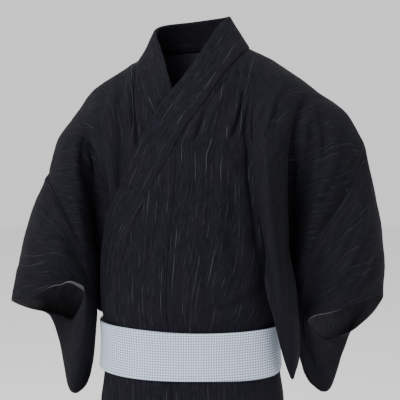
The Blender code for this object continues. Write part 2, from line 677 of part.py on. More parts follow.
def knot_strip(name, length, width, thickness, tilt, lift, bow, colour):
    """A flat folded end of the obi across the middle of the back, tilted, bowed along the body's ring."""
    sections = []
    centre_z = OBI_TOP - OBI_WIDTH / 2
    c, s = math.cos(math.radians(tilt)), math.sin(math.radians(tilt))
    for k in range(KNOT_SECTIONS + 1):
        a = -length / 2 + length * k / KNOT_SECTIONS
        section = []
        for b, out in ((-width / 2, 0), (-width / 6, 0), (width / 6, 0), (width / 2, 0),
                       (width / 2, 1), (width / 6, 1), (-width / 6, 1), (-width / 2, 1)):
            x, z = a * c - b * s, centre_z + a * s + b * c
            raised = lift + bow * (1 - (2 * a / length) ** 2) + thickness * out
            y = on_body(x, min(z, OBI_TOP), 0.0, True)[1] + KNOT_SEAT + raised
            section.append(np.array([x, y, z]))
        sections.append(section)
    return swept(name, sections, colour, (4, 5, 6, 7))


# The fold of the left front that hangs over the obi at the wearer's left.

def hanging_fold(panel, colour):
    rows = []
    for k in reversed(FOLD_ROWS):
        below, row, above = panel[len(BELOW_OBI) + k:len(BELOW_OBI) + k + 3]
        points = []
        for j in FOLD_COLUMNS:
            outward = unit(np.cross(row[j + 1] - row[j - 1], above[j] - below[j]))
            points.append(row[j] + outward * FOLD_LIFT[0] + np.array([0.0, -FOLD_LIFT[1], 0.0]))
        rows.append(points)
    for _, inner_edge, crest, outer_edge in HANGING_FOLD:
        inner_edge, crest, outer_edge = np.array(inner_edge), np.array(crest), np.array(outer_edge)
        half = [inner_edge, (inner_edge + crest) / 2 + (crest - inner_edge) * (0.0, 0.22, 0.0), crest,
                (crest + outer_edge) / 2 + (crest - outer_edge) * (0.0, 0.22, 0.0), outer_edge]
        last = len(FOLD_COLUMNS) - 1
        rows.append([along(half, 4 * j / last) for j in range(len(FOLD_COLUMNS))])
    pieces = [1] * (len(FOLD_ROWS) - 1) + [2] * len(HANGING_FOLD)
    return sheet("body_left_fold", refine(rows, pieces)[0], colour)


def material(name, colour, roughness):
    result = bpy.data.materials.new(name)
    result.use_nodes = True
    shader = result.node_tree.nodes["Principled BSDF"]
    shader.inputs["Base Color"].default_value = (*colour, 1.0)
    shader.inputs["Roughness"].default_value = roughness
    shader.inputs["Metallic"].default_value = 0.0
    return result


def build():
    cloth = material("dark cotton", (0.012, 0.012, 0.018), 0.9)
    weave = material("pale obi weave", (0.62, 0.68, 0.76), 0.8)
    left, left_armhole, left_seam, left_met = body_panel(1, LEFT_PANEL, LAPPED_GORE, True)
    right, right_armhole, right_seam, right_met = body_panel(-1, RIGHT_PANEL, UNDER_GORE, False)
    left_gore, left_gore_met = gore_rows(LAPPED_GORE, True, 1, left_seam)
    right_gore, right_gore_met = gore_rows(UNDER_GORE, False, -1, right_seam)
    sheet("body_left", left, cloth)
    hanging_fold(left, cloth)
    sheet("body_right", right, cloth)
    sheet("okumi_left", left_gore, cloth)
    sheet("okumi_right", right_gore, cloth)
    sheet("sleeve_left", sleeve_rows(LEFT_SLEEVE, left_armhole), cloth, closed=True)
    sheet("sleeve_right", sleeve_rows(RIGHT_SLEEVE, right_armhole), cloth, closed=True)
    stations = sorted({round(c, 4) for c in
                       [0.0, len(COLLAR) - 1.0, *PATCH_ENDS] + left_met + right_met + left_gore_met + right_gore_met})
    collar_band(stations, cloth)
    over_collar([c for c in stations if PATCH_ENDS[0] <= c <= PATCH_ENDS[1]], cloth)
    obi_ring(weave)
    knot_strip("obi_knot", 0.165, 0.095, 0.007, 34.0, 0.0, 0.008, weave)
    knot_strip("obi_knot_end", 0.180, 0.050, 0.006, -38.0, 0.0070, 0.012, weave)


build()
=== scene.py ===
import math

import bmesh
import bpy
import numpy as np
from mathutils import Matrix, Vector, noise


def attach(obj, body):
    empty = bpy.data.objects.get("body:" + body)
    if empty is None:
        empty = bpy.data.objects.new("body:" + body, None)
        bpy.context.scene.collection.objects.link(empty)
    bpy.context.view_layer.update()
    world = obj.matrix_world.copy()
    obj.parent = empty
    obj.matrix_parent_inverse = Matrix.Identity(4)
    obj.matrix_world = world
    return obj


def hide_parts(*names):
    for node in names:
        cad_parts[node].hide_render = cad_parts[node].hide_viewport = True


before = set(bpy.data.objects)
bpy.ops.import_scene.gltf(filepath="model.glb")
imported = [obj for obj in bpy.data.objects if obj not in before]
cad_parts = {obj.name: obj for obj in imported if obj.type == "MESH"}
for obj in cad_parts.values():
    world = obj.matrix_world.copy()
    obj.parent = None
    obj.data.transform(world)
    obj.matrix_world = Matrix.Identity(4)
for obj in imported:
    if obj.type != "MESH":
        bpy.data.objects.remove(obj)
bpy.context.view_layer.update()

SEAM = 0.0003          # half of the parting between two sewn edges
OVERLAP_LIFT = 0.011   # how far the lapped left front stands outside the right front
LAP_ANGLES = (56.0, 84.0)        # the lapped layer comes back to the body's own ring between these
LAP_EDGE_ANGLES = (84.0, 112.0)  # and between these on the wearer's right

OBI_TOP = -0.556
OBI_WIDTH = 0.098
OBI_CLEAR = 0.0031     # from the middle of the cloth to the inside of the obi
OBI_WALL = 0.0014
OBI_FINE = 360         # stations round one turn
OBI_ROUND = 1.05       # length of one turn
KNOT_SEAT = 0.0050     # from the middle of the cloth to the knot, past the obi
KNOT_PIECES = 40
COLLAR_END = -0.604    # the band ends under the obi, and the gores widen to their free edges below it
HEM = -1.340
RING_POWER = 2.3       # above 2 makes an ellipse squarer
BISECTIONS = 40        # halvings that find a point on a curve

# The body's rings: height, half of its width, depth in front of and behind the centre.
RINGS = [
    # z, half_width, front, back
    (0.060, 0.095, 0.045, 0.088),
    (0.000, 0.118, 0.060, 0.100),
    (-0.050, 0.140, 0.086, 0.114),
    (-0.110, 0.168, 0.114, 0.124),
    (-0.200, 0.186, 0.138, 0.130),
    (-0.310, 0.190, 0.151, 0.130),
    (-0.430, 0.188, 0.158, 0.126),
    (-0.505, 0.186, 0.157, 0.124),
    (-0.545, 0.180, 0.143, 0.120),
    (-0.600, 0.177, 0.137, 0.119),
    (-0.660, 0.181, 0.140, 0.126),
    (-0.720, 0.190, 0.150, 0.138),
    (-0.850, 0.198, 0.158, 0.150),
    (-1.000, 0.197, 0.158, 0.154),
    (-1.180, 0.197, 0.160, 0.158),
    (-1.345, 0.201, 0.165, 0.163),
]

# The collar band from the lapped front's end, round the neck, to the end under the lap.
# On the chest only x and z are given, for the free edge and for the seam, and y follows the body.
LAPPED_COLLAR = [
    # free_x, free_z, seam_x, seam_z
    (-0.172, COLLAR_END, -0.130, COLLAR_END),
    (-0.173, -0.560, -0.134, -0.558),
    (-0.179, -0.500, -0.146, -0.494),
    (-0.176, -0.400, -0.132, -0.400),
    (-0.160, -0.318, -0.110, -0.332),
    (-0.133, -0.259, -0.087, -0.284),
    (-0.095, -0.174, -0.045, -0.202),
    (-0.065, -0.119, -0.014, -0.147),
    (-0.040, -0.082, 0.009, -0.112),
    (-0.016, -0.052, 0.031, -0.082),
]
NECK_COLLAR = [
    # free_x, free_y, free_z, seam_x, seam_y, seam_z
    (0.005, -0.079, -0.020, 0.052, -0.093, -0.054),
    (0.029, -0.058, 0.014, 0.078, -0.068, -0.024),
    (0.052, -0.026, 0.048, 0.101, -0.034, -0.002),
    (0.074, 0.014, 0.067, 0.113, 0.014, 0.006),
    (0.060, 0.064, 0.066, 0.090, 0.082, 0.004),
    (0.000, 0.090, 0.058, 0.000, 0.114, -0.002),
    (-0.062, 0.064, 0.050, -0.088, 0.080, -0.006),
    (-0.079, 0.018, 0.036, -0.104, 0.018, -0.014),
    (-0.070, -0.022, 0.010, -0.111, -0.024, -0.024),
    (-0.061, -0.047, -0.016, -0.108, -0.053, -0.043),
]
UNDER_COLLAR = [
    # free_x, free_z, seam_x, seam_z
    (-0.052, -0.048, -0.104, -0.066),
    (-0.040, -0.082, -0.090, -0.106),
    (-0.018, -0.121, -0.066, -0.150),
    (0.014, -0.174, -0.032, -0.203),
    (0.057, -0.249, 0.011, -0.277),
    (0.098, -0.331, 0.050, -0.355),
    (0.127, -0.414, 0.075, -0.430),
    (0.145, -0.500, 0.092, -0.506),
    (0.144, -0.560, 0.093, -0.562),
    (0.147, COLLAR_END, 0.095, COLLAR_END),
]
# Stations of the collar named by what meets it there.
LAPPED_TIP = 6.45      # the upper tip of the lapped front gore
NAPE = 15.0            # the centre of the back
UNDER_TIP = 23.0       # the upper tip of the under front gore
PATCH_ENDS = (5.0, 25.0)     # the over-collar runs between these
NECK_STATIONS = (12, 18)     # the band's back part, whose outside faces backwards

# Front gores (okumi): height, then the angle of the gore's seam and of its free edge below the collar.
LAPPED_GORE = [
    # z, seam_angle, free_angle
    (-0.178, -12.0, -50.0),
    (-0.260, -13.0, -60.0),
    (-0.340, -15.0, -65.0),
    (-0.430, -17.0, -70.0),
    (-0.530, -18.0, -75.0),
    (-0.650, -16.0, -73.0),
    (-0.900, -12.0, -68.0),
    (HEM, -6.0, -62.0),
]
UNDER_GORE = [
    # z, seam_angle, free_angle
    (-0.203, -12.6, 5.0),
    (-0.280, -1.0, 30.0),
    (-0.360, 4.0, 40.0),
    (-0.440, 8.0, 46.0),
    (-0.530, 11.0, 54.0),
    (-0.650, 12.0, 56.0),
    (-0.900, 9.0, 54.0),
    (HEM, 5.0, 52.0),
]

# Each body panel above the obi: rows from the front of the waist, over the shoulder, to the back of the
# waist. A row starts on the collar, or on the seam at height at, and ends on the armhole.
# chest is where the front turns, fold, valley and flap are the deep folds at the armpit.
LEFT_PANEL = [
    # row, start, at, chest_xz, fold, valley, flap, edge
    ("waist", "gore", -0.525, (0.142, -0.522), (0.168, -0.098, -0.520), (0.188, -0.052, -0.520),
     (0.200, -0.052, -0.524), (0.212, -0.058, -0.530)),
    ("ribs", "gore", -0.430, (0.146, -0.466), (0.172, -0.160, -0.466), (0.203, -0.045, -0.470),
     (0.213, -0.075, -0.470), (0.221, -0.088, -0.472)),
    ("low chest", "gore", -0.345, (0.136, -0.395), (0.163, -0.169, -0.400), (0.205, -0.035, -0.410),
     (0.220, -0.088, -0.412), (0.231, -0.100, -0.420)),
    ("chest", "gore", -0.265, (0.122, -0.310), (0.155, -0.171, -0.330), (0.205, -0.038, -0.345),
     (0.231, -0.103, -0.350), (0.252, -0.102, -0.366)),
    ("high chest", "collar", LAPPED_TIP, (0.112, -0.245), (0.150, -0.168, -0.262), (0.205, -0.050, -0.278),
     (0.249, -0.113, -0.290), (0.287, -0.091, -0.316)),
    ("collar bone", "collar", 8.0, (0.107, -0.180), (0.148, -0.154, -0.198), (0.208, -0.074, -0.220),
     (0.268, -0.108, -0.236), (0.316, -0.070, -0.270)),
    ("shoulder front", "collar", 10.2, (0.112, -0.108), (0.156, -0.115, -0.130), (0.222, -0.086, -0.165),
     (0.292, -0.078, -0.184), (0.338, -0.040, -0.226)),
    ("shoulder near", "collar", 12.0, (0.138, -0.040), (0.184, -0.060, -0.062), (0.246, -0.050, -0.104),
     (0.308, -0.038, -0.140), (0.350, -0.018, -0.202)),
    ("shoulder top", "collar", 13.0, (0.160, -0.017), (0.214, 0.010, -0.052), (0.264, 0.010, -0.089),
     (0.317, 0.012, -0.128), (0.355, 0.008, -0.193)),
    ("shoulder back", "collar", 14.0, (0.146, -0.032), (0.200, 0.078, -0.070), (0.256, 0.076, -0.112),
     (0.309, 0.070, -0.158), (0.350, 0.050, -0.222)),
    ("nape", "collar", NAPE, (0.092, -0.048), (0.155, 0.124, -0.104), (0.218, 0.122, -0.162),
     (0.282, 0.110, -0.226), (0.335, 0.086, -0.284)),
    ("shoulder blade", "back", -0.130, (0.080, -0.150), (0.140, 0.137, -0.190), (0.196, 0.120, -0.236),
     (0.254, 0.114, -0.296), (0.308, 0.100, -0.352)),
    ("back", "back", -0.255, (0.078, -0.265), (0.130, 0.126, -0.296), (0.184, 0.084, -0.330),
     (0.232, 0.100, -0.374), (0.282, 0.100, -0.420)),
    ("low back", "back", -0.380, (0.076, -0.385), (0.130, 0.112, -0.405), (0.178, 0.058, -0.428),
     (0.216, 0.074, -0.454), (0.256, 0.086, -0.482)),
    ("back waist", "back", -0.500, (0.076, -0.505), (0.130, 0.098, -0.515), (0.172, 0.056, -0.526),
     (0.200, 0.046, -0.532), (0.224, 0.050, -0.536)),
]
RIGHT_PANEL = [
    # row, start, at, chest_xz, fold, valley, flap, edge
    ("waist", "gore", -0.525, (-0.140, -0.525), (-0.164, -0.068, -0.525), (-0.181, -0.034, -0.525),
     (-0.190, -0.024, -0.528), (-0.199, -0.030, -0.532)),
    ("ribs", "gore", -0.440, (-0.142, -0.466), (-0.168, -0.070, -0.466), (-0.191, -0.014, -0.466),
     (-0.199, -0.038, -0.468), (-0.204, -0.062, -0.472)),
    ("low chest", "gore", -0.360, (-0.144, -0.405), (-0.168, -0.072, -0.410), (-0.197, -0.008, -0.415),
     (-0.207, -0.060, -0.420), (-0.216, -0.084, -0.428)),
    ("chest", "gore", -0.280, (-0.142, -0.345), (-0.166, -0.078, -0.350), (-0.200, -0.006, -0.358),
     (-0.214, -0.074, -0.366), (-0.230, -0.090, -0.382)),
    ("high chest", "collar", UNDER_TIP, (-0.142, -0.285), (-0.166, -0.087, -0.290), (-0.203, -0.014, -0.302),
     (-0.224, -0.084, -0.318), (-0.249, -0.086, -0.345)),
    ("collar bone", "collar", 22.0, (-0.136, -0.225), (-0.180, -0.098, -0.236), (-0.206, -0.030, -0.250),
     (-0.236, -0.086, -0.268), (-0.270, -0.071, -0.305)),
    ("upper chest", "collar", 21.0, (-0.130, -0.165), (-0.186, -0.100, -0.182), (-0.211, -0.056, -0.200),
     (-0.248, -0.078, -0.222), (-0.287, -0.046, -0.274)),
    ("shoulder front", "collar", 19.6, (-0.142, -0.092), (-0.190, -0.074, -0.118), (-0.220, -0.062, -0.150),
     (-0.262, -0.048, -0.188), (-0.296, -0.022, -0.258)),
    ("shoulder top", "collar", 17.0, (-0.152, -0.046), (-0.205, 0.012, -0.081), (-0.238, 0.012, -0.124),
     (-0.281, 0.012, -0.184), (-0.300, 0.004, -0.252)),
    ("shoulder back", "collar", 16.0, (-0.140, -0.052), (-0.192, 0.080, -0.092), (-0.226, 0.080, -0.134),
     (-0.270, 0.072, -0.196), (-0.301, 0.044, -0.268)),
    ("nape", "collar", NAPE, (-0.090, -0.056), (-0.148, 0.124, -0.112), (-0.198, 0.122, -0.166),
     (-0.252, 0.110, -0.230), (-0.294, 0.080, -0.310)),
    ("shoulder blade", "back", -0.130, (-0.080, -0.150), (-0.138, 0.137, -0.192), (-0.188, 0.120, -0.240),
     (-0.238, 0.112, -0.302), (-0.280, 0.098, -0.368)),
    ("back", "back", -0.255, (-0.078, -0.265), (-0.130, 0.126, -0.296), (-0.180, 0.086, -0.332),
     (-0.222, 0.098, -0.380), (-0.262, 0.098, -0.430)),
    ("low back", "back", -0.380, (-0.076, -0.385), (-0.130, 0.112, -0.405), (-0.176, 0.058, -0.428),
     (-0.208, 0.072, -0.456), (-0.242, 0.082, -0.488)),
    ("back waist", "back", -0.500, (-0.076, -0.505), (-0.130, 0.098, -0.515), (-0.170, 0.056, -0.526),
     (-0.194, 0.044, -0.532), (-0.216, 0.046, -0.537)),
]
# How far back the chest point lies in the rows that pass over the shoulder, off the body's rings.
SHOULDER_DEPTHS = {"shoulder near": -0.056, "shoulder top": 0.012, "shoulder back": 0.079}
BELOW_OBI = (-0.549, -0.575, COLLAR_END - 0.001, COLLAR_END - 0.008,
             -0.640, -0.680, -0.730, -0.860, -1.010, -1.180, HEM)
COLUMN_SHARES = (4, 3, 3, 3, 2)   # faces between start, chest, fold, valley, flap and edge
MIDDLE_COLUMNS = slice(3, 12)     # columns whose middle measures a panel's length
FRONT_TURN, BACK_TURN = 48.0, 150.0   # where the skirt turns from front and back to its side
GORE_PART = math.degrees(SEAM / 0.15)   # half of a seam's parting as an angle, on a gore's seam
SIDE_PART = math.degrees(SEAM / 0.19)   # and on the side seam

# Sleeve sections between armhole and cuff, each round from the top fold down the front, past the lower
# seam and up the back.
LEFT_SLEEVE = [
    # point, armhole_tip, upper, lower, cuff
    ("top", None, (0.384, -0.010, -0.332), (0.394, -0.034, -0.425), (0.391, -0.045, -0.500)),
    ("front high", None, (0.342, -0.104, -0.350), (0.352, -0.110, -0.430), (0.337, -0.108, -0.503)),
    ("front middle", None, (0.276, -0.120, -0.410), (0.291, -0.132, -0.453), (0.280, -0.134, -0.516)),
    ("front low", None, (0.222, -0.066, -0.539), (0.228, -0.065, -0.547), (0.233, -0.118, -0.536)),
    ("lower seam", (0.224, 0.000, -0.640), (0.245, 0.004, -0.694), (0.283, 0.011, -0.714),
     (0.272, -0.024, -0.593)),
    ("back low", None, (0.276, 0.066, -0.600), (0.322, 0.056, -0.640), (0.300, 0.016, -0.602)),
    ("back middle", None, (0.326, 0.104, -0.460), (0.354, 0.082, -0.530), (0.336, 0.036, -0.594)),
    ("back high", None, (0.372, 0.066, -0.350), (0.388, 0.040, -0.450), (0.376, 0.022, -0.556)),
]
RIGHT_SLEEVE = [
    # point, armhole_tip, upper, lower, cuff
    ("top", None, (-0.336, -0.012, -0.334), (-0.359, -0.036, -0.430), (-0.374, -0.056, -0.508)),
    ("front high", None, (-0.305, -0.092, -0.350), (-0.322, -0.108, -0.420), (-0.325, -0.116, -0.490)),
    ("front middle", None, (-0.254, -0.110, -0.385), (-0.261, -0.129, -0.411), (-0.258, -0.134, -0.457)),
    ("front low", None, (-0.205, -0.055, -0.518), (-0.208, -0.068, -0.512), (-0.217, -0.122, -0.474)),
    ("lower seam", (-0.212, 0.006, -0.650), (-0.228, 0.004, -0.702), (-0.257, -0.010, -0.706),
     (-0.249, -0.025, -0.552)),
    ("back low", None, (-0.248, 0.066, -0.590), (-0.286, 0.050, -0.620), (-0.278, 0.020, -0.556)),
    ("back middle", None, (-0.288, 0.100, -0.460), (-0.312, 0.078, -0.516), (-0.312, 0.036, -0.552)),
    ("back high", None, (-0.326, 0.062, -0.360), (-0.346, 0.038, -0.450), (-0.350, 0.018, -0.540)),
]
LOWER_SEAM = 4         # the table's row of the lower seam
SLEEVE_STEPS = 9
CURVE_PIECES = 12      # pieces of each stretch where a curve's length is measured
ARMHOLE_GAP = 0.0004   # parting of a sleeve from its armhole, where the cloth turns
BAG_POINTS = 5         # extra points of the armhole ring past the armhole's two lower ends
GORE_COLUMNS = 4
TIP_SHARE = 0.96       # how far up the last step to its tip a gore is built

# The drawn-out fold of the left front, which hangs over the obi.
FOLD_COLUMNS = range(4, 10)    # columns of the left panel that it grows out of
FOLD_TOP_ROW = 15      # row of the panel, up from the waist, where it begins
FOLD_LOW_ROW = 5       # the last of the panel's rows that it follows
FOLD_RISE = 4          # rows over which it comes out of the panel
FOLD_SUNK = 0.0012     # how far inside the panel it begins
FOLD_LIFT = 0.0030     # how far outside the panel it lies
FOLD_FORWARD = 0.0075  # and how far further forward
FOLD_BULGE = 0.22      # roundness between its crest and its edges
FOLD_STEP = 0.0030     # its faces
ROLL_STEP = 0.004      # from point to point of its rolled inner edge
ROLL_DEPTHS = (0.0055, 0.0045, 0.0018)   # how far in those points lie
# On its way down over the obi: inner edge, crest and outer edge of each row.
FOLD_OVER_OBI = [
    ((0.146, -0.171, -0.450), (0.173, -0.176, -0.455), (0.205, -0.118, -0.460)),
    ((0.158, -0.160, -0.505), (0.182, -0.168, -0.508), (0.211, -0.112, -0.512)),
    ((0.168, -0.140, -0.550), (0.190, -0.152, -0.552), (0.215, -0.104, -0.556)),
    ((0.180, -0.122, -0.600), (0.197, -0.134, -0.602), (0.217, -0.094, -0.604)),
    ((0.190, -0.106, -0.636), (0.201, -0.115, -0.640), (0.214, -0.084, -0.636)),
    ((0.199, -0.094, -0.662), (0.203, -0.098, -0.664), (0.209, -0.078, -0.656)),
]

# The looks: sizes on the flat cut and of the finer grids
CLOTH = 0.0014         # the shown wall of one layer of cloth
BAND_HALF = 0.0015     # half of the collar band's wall
PATCH_HALF = 0.0034    # half of the over-collar round the band
PATCH_INSET = -0.0030  # how far it stands out past the band's free edge
BAND_REACH = 0.0018    # how far both go past the collar's seam
BAND_STEP = 0.10       # stations between two sections of a band
COLLAR_PIECES = 60     # straight pieces in which the collar's length is measured
PANEL_WIDTH = 0.36     # one width of the roll, less its seams
SLEEVE_WIDTH = 0.30
NECK_CUT = 0.085       # how far the collar cuts into the panel at the shoulder
STRIPE_PITCH = 0.0125
DOT_PITCH = 0.0054
EYE_DISTANCE = 2.6
EYE_SIDE = 0.014       # how far to the left as worn the eye stands
FRONT_PLANE = 2.5      # distance at which the folds of the front are measured
FINE_STEP = 0.0036     # faces of the shown cloth above the obi
SKIRT_STEP = 0.0120    # and below it
SKIRT_TOP = -0.66
SEAM_DIP = 0.0007      # how far the cloth turns in at a seam
SEAM_ROLL = 0.0035     # over this distance
SEAM_CALM = 0.016      # folds die out over this distance from a seam
FOLD_SLANT = 0.55      # how far the drawn-out fold's stripes run sideways for each metre down
ARM_SLANT = 0.75       # the same for the panel beside the arm
SLANT_REACH = 0.60

# Flat cut of each piece as shown: width, length and, where the cut isn't a rectangle, its area.
CUTS = {
    "body_left": (0.38, 2.86, None),
    "body_right": (0.38, 2.86, None),
    "okumi_left": (0.15, 1.20, 0.160),
    "okumi_right": (0.15, 1.16, 0.135),
    "sleeve_left": (0.25, 0.66, None),
    "sleeve_right": (0.23, 0.62, None),
    "body_left_fold": (0.13, 0.52, None),
    "collar_band": (0.055, 2.15, None),
    "over_collar": (0.055, 1.00, None),
    "obi": (OBI_WIDTH, OBI_ROUND, None),
    "obi_knot": (0.095, 0.165, None),
    "obi_knot_end": (0.050, 0.180, None),
}


def creases(*rows):
    """Folds from rows of height, width, the points of the path as (x, z), and the kind where it isn't a
    trough."""
    made = []
    for height, width, *path in rows:
        kind = path.pop() if isinstance(path[-1], str) else "trough"
        made.append((path, height, width, kind))
    return made


# Folds as seen from the front and from behind. A trough is a soft crease with low ridges beside it, and
# "left over" is a fold whose higher side lies to the left as worn.
FRONT_FOLDS = {
    "body_left": creases(
        (0.0058, 0.0046, (0.070, -0.050), (0.044, -0.086), (0.022, -0.122), (0.000, -0.186)),
        (0.0052, 0.0038, (0.052, -0.088), (0.030, -0.122), (0.013, -0.158), (0.000, -0.184)),
        (0.0026, 0.0080, (0.088, -0.070), (0.060, -0.130), (0.044, -0.200), (0.036, -0.290)),
        (0.0095, 0.0042, (0.102, -0.078), (0.094, -0.116), (0.078, -0.176)),
        (0.0040, 0.0060, (0.150, -0.100), (0.136, -0.140), (0.122, -0.190)),
        (0.0070, 0.0060, (0.176, -0.080), (0.160, -0.140), (0.146, -0.210), (0.142, -0.280)),
        (0.0170, 0.0090, (0.224, -0.090), (0.204, -0.150), (0.193, -0.220), (0.190, -0.310),
         (0.192, -0.400), (0.198, -0.480)),
        (0.0050, 0.0150, (0.070, -0.240), (0.084, -0.310), (0.082, -0.380), (0.112, -0.470)),
        (0.0030, 0.0120, (0.030, -0.240), (0.034, -0.340), (0.028, -0.440), (0.034, -0.520)),
        (0.0022, 0.0100, (0.000, -0.200), (0.002, -0.300), (-0.006, -0.400)),
        (0.0130, 0.0040, (0.117, -0.080), (0.107, -0.146), (0.113, -0.196), (0.115, -0.250),
         (0.124, -0.320), (0.134, -0.400), "left over"),
        (0.0036, 0.0090, (0.010, -0.530), (0.060, -0.520), (0.110, -0.500), (0.150, -0.470)),
        (0.0066, 0.0070, (0.250, -0.120), (0.262, -0.170), (0.258, -0.230), (0.236, -0.300)),
        (0.0044, 0.0070, (0.290, -0.150), (0.296, -0.200), (0.278, -0.260), (0.244, -0.330)),
        (0.0036, 0.0070, (0.226, -0.110), (0.236, -0.180), (0.226, -0.280)),
        (0.0034, 0.0060, (0.316, -0.200), (0.306, -0.240), (0.284, -0.290))),
    "body_right": creases(
        (0.0095, 0.0042, (-0.110, -0.016), (-0.119, -0.084), (-0.117, -0.128), (-0.112, -0.168),
         (-0.106, -0.200)),
        (0.0034, 0.0070, (-0.136, -0.050), (-0.146, -0.110), (-0.142, -0.180), (-0.146, -0.260)),
        (0.0040, 0.0075, (-0.170, -0.070), (-0.184, -0.140), (-0.176, -0.220), (-0.170, -0.300)),
        (0.0170, 0.0085, (-0.208, -0.180), (-0.190, -0.220), (-0.174, -0.290), (-0.170, -0.350),
         (-0.180, -0.420), (-0.184, -0.480)),
        (0.0032, 0.0080, (-0.160, -0.330), (-0.150, -0.400), (-0.156, -0.470)),
        (0.0042, 0.0065, (-0.210, -0.150), (-0.222, -0.220), (-0.208, -0.300), (-0.196, -0.370)),
        (0.0042, 0.0070, (-0.250, -0.180), (-0.240, -0.250), (-0.220, -0.320), (-0.202, -0.400)),
        (0.0030, 0.0070, (-0.140, -0.400), (-0.166, -0.440), (-0.190, -0.470))),
    "okumi_left": creases(
        (0.0030, 0.0070, (-0.096, -0.290), (-0.116, -0.350), (-0.144, -0.440)),
        (0.0026, 0.0080, (-0.050, -0.230), (-0.066, -0.330), (-0.092, -0.430), (-0.110, -0.520)),
        (0.0022, 0.0080, (-0.030, -0.360), (-0.044, -0.440), (-0.050, -0.530))),
    "okumi_right": creases(
        (0.0034, 0.0140, (0.020, -0.700), (0.030, -0.900), (0.030, -1.150))),
    "sleeve_left": creases(
        (0.0044, 0.0075, (0.300, -0.240), (0.316, -0.300), (0.290, -0.370), (0.250, -0.430)),
        (0.0042, 0.0080, (0.330, -0.250), (0.336, -0.320), (0.310, -0.400), (0.262, -0.470)),
        (0.0038, 0.0080, (0.356, -0.290), (0.350, -0.370), (0.316, -0.450), (0.270, -0.500)),
        (0.0032, 0.0075, (0.370, -0.400), (0.352, -0.450), (0.310, -0.500)),
        (0.0040, 0.0065, (0.274, -0.330), (0.262, -0.390), (0.236, -0.450))),
    "sleeve_right": creases(
        (0.0110, 0.0060, (-0.284, -0.210), (-0.268, -0.286), (-0.240, -0.340), (-0.218, -0.380)),
        (0.0060, 0.0070, (-0.266, -0.190), (-0.232, -0.320), (-0.208, -0.420), (-0.202, -0.470), "ridge"),
        (0.0030, 0.0060, (-0.300, -0.374), (-0.260, -0.380), (-0.214, -0.398)),
        (0.0030, 0.0060, (-0.280, -0.390), (-0.246, -0.408), (-0.204, -0.434)),
        (0.0030, 0.0090, (-0.330, -0.330), (-0.296, -0.420), (-0.250, -0.452)),
        (0.0026, 0.0080, (-0.352, -0.420), (-0.310, -0.460), (-0.262, -0.462))),
    "body_left_fold": creases(
        (0.0034, 0.0050, (0.132, -0.170), (0.140, -0.300), (0.156, -0.430), (0.178, -0.560)),
        (0.0030, 0.0045, (0.150, -0.160), (0.160, -0.280), (0.176, -0.420), (0.190, -0.540)),
        (0.0020, 0.0040, (0.170, -0.470), (0.182, -0.540), (0.192, -0.620))),
}
BACK_FOLDS = {
    "body_left": creases(
        (0.0034, 0.0110, (0.030, -0.060), (0.060, -0.140), (0.120, -0.220), (0.190, -0.290)),
        (0.0044, 0.0120, (0.060, -0.480), (0.080, -0.380), (0.130, -0.280)),
        (0.0046, 0.0110, (0.110, -0.500), (0.130, -0.420), (0.180, -0.330)),
        (0.0034, 0.0100, (0.020, -0.520), (0.030, -0.430), (0.050, -0.330)),
        (0.0046, 0.0160, (0.060, -0.680), (0.066, -0.860), (0.090, -1.100), (0.100, -1.320)),
        (0.0042, 0.0150, (0.130, -0.680), (0.150, -0.900), (0.150, -1.200))),
    "body_right": creases(
        (0.0032, 0.0120, (-0.034, -0.080), (-0.070, -0.160), (-0.120, -0.230), (-0.180, -0.310)),
        (0.0046, 0.0110, (-0.050, -0.490), (-0.086, -0.370), (-0.124, -0.290)),
        (0.0042, 0.0120, (-0.104, -0.510), (-0.140, -0.410), (-0.170, -0.340)),
        (0.0030, 0.0110, (-0.016, -0.510), (-0.036, -0.410), (-0.040, -0.310)),
        (0.0044, 0.0150, (-0.050, -0.670), (-0.070, -0.900), (-0.080, -1.280)),
        (0.0046, 0.0160, (-0.120, -0.690), (-0.140, -0.940), (-0.156, -1.240))),
    "sleeve_left": creases(
        (0.0046, 0.0110, (0.230, -0.330), (0.290, -0.430), (0.330, -0.540)),
        (0.0042, 0.0100, (0.250, -0.420), (0.286, -0.520), (0.300, -0.600)),
        (0.0034, 0.0100, (0.300, -0.290), (0.350, -0.400), (0.372, -0.500))),
    "sleeve_right": creases(
        (0.0044, 0.0100, (-0.220, -0.350), (-0.260, -0.450), (-0.300, -0.540)),
        (0.0044, 0.0110, (-0.230, -0.450), (-0.256, -0.540), (-0.270, -0.620)),
        (0.0036, 0.0100, (-0.280, -0.310), (-0.320, -0.400), (-0.344, -0.500))),
}
PATH_PIECES = 28       # straight pieces of a fold's path
RIDGE_HEIGHT, RIDGE_AT, RIDGE_WIDTH = 0.45, 2.1, 1.3   # a trough's ridges, as shares of its own sizes
FRONT, BACK = (0.0, -1.0, 0.0), (0.0, 1.0, 0.0)


def smooth_step(a, b, value):
    t = min(1.0, max(0.0, (value - a) / (b - a)))
    return t * t * (3 - 2 * t)


def along(points, at):
    """Point at a fractional index of a smooth curve through points."""
    points = np.asarray(points, dtype=float)
    last = len(points) - 1
    i = min(last - 1, max(0, int(math.floor(at))))
    t = at - i
    b, c = points[i], points[i + 1]
    a = points[i - 1] if i > 0 else 2 * b - c
    d = points[i + 2] if i + 2 <= last else 2 * c - b
    return 0.5 * (2 * b + (c - a) * t + (2 * a - 5 * b + 4 * c - d) * t**2 + (3 * b - a - 3 * c + d) * t**3)


def unit(v):
    return v / np.linalg.norm(v)


def run_lengths(points):
    """Distance along a run of points, at each of them."""
    lengths = [0.0]
    for a, b in zip(points, points[1:]):
        lengths.append(lengths[-1] + np.linalg.norm(np.asarray(b) - np.asarray(a)))
    return lengths


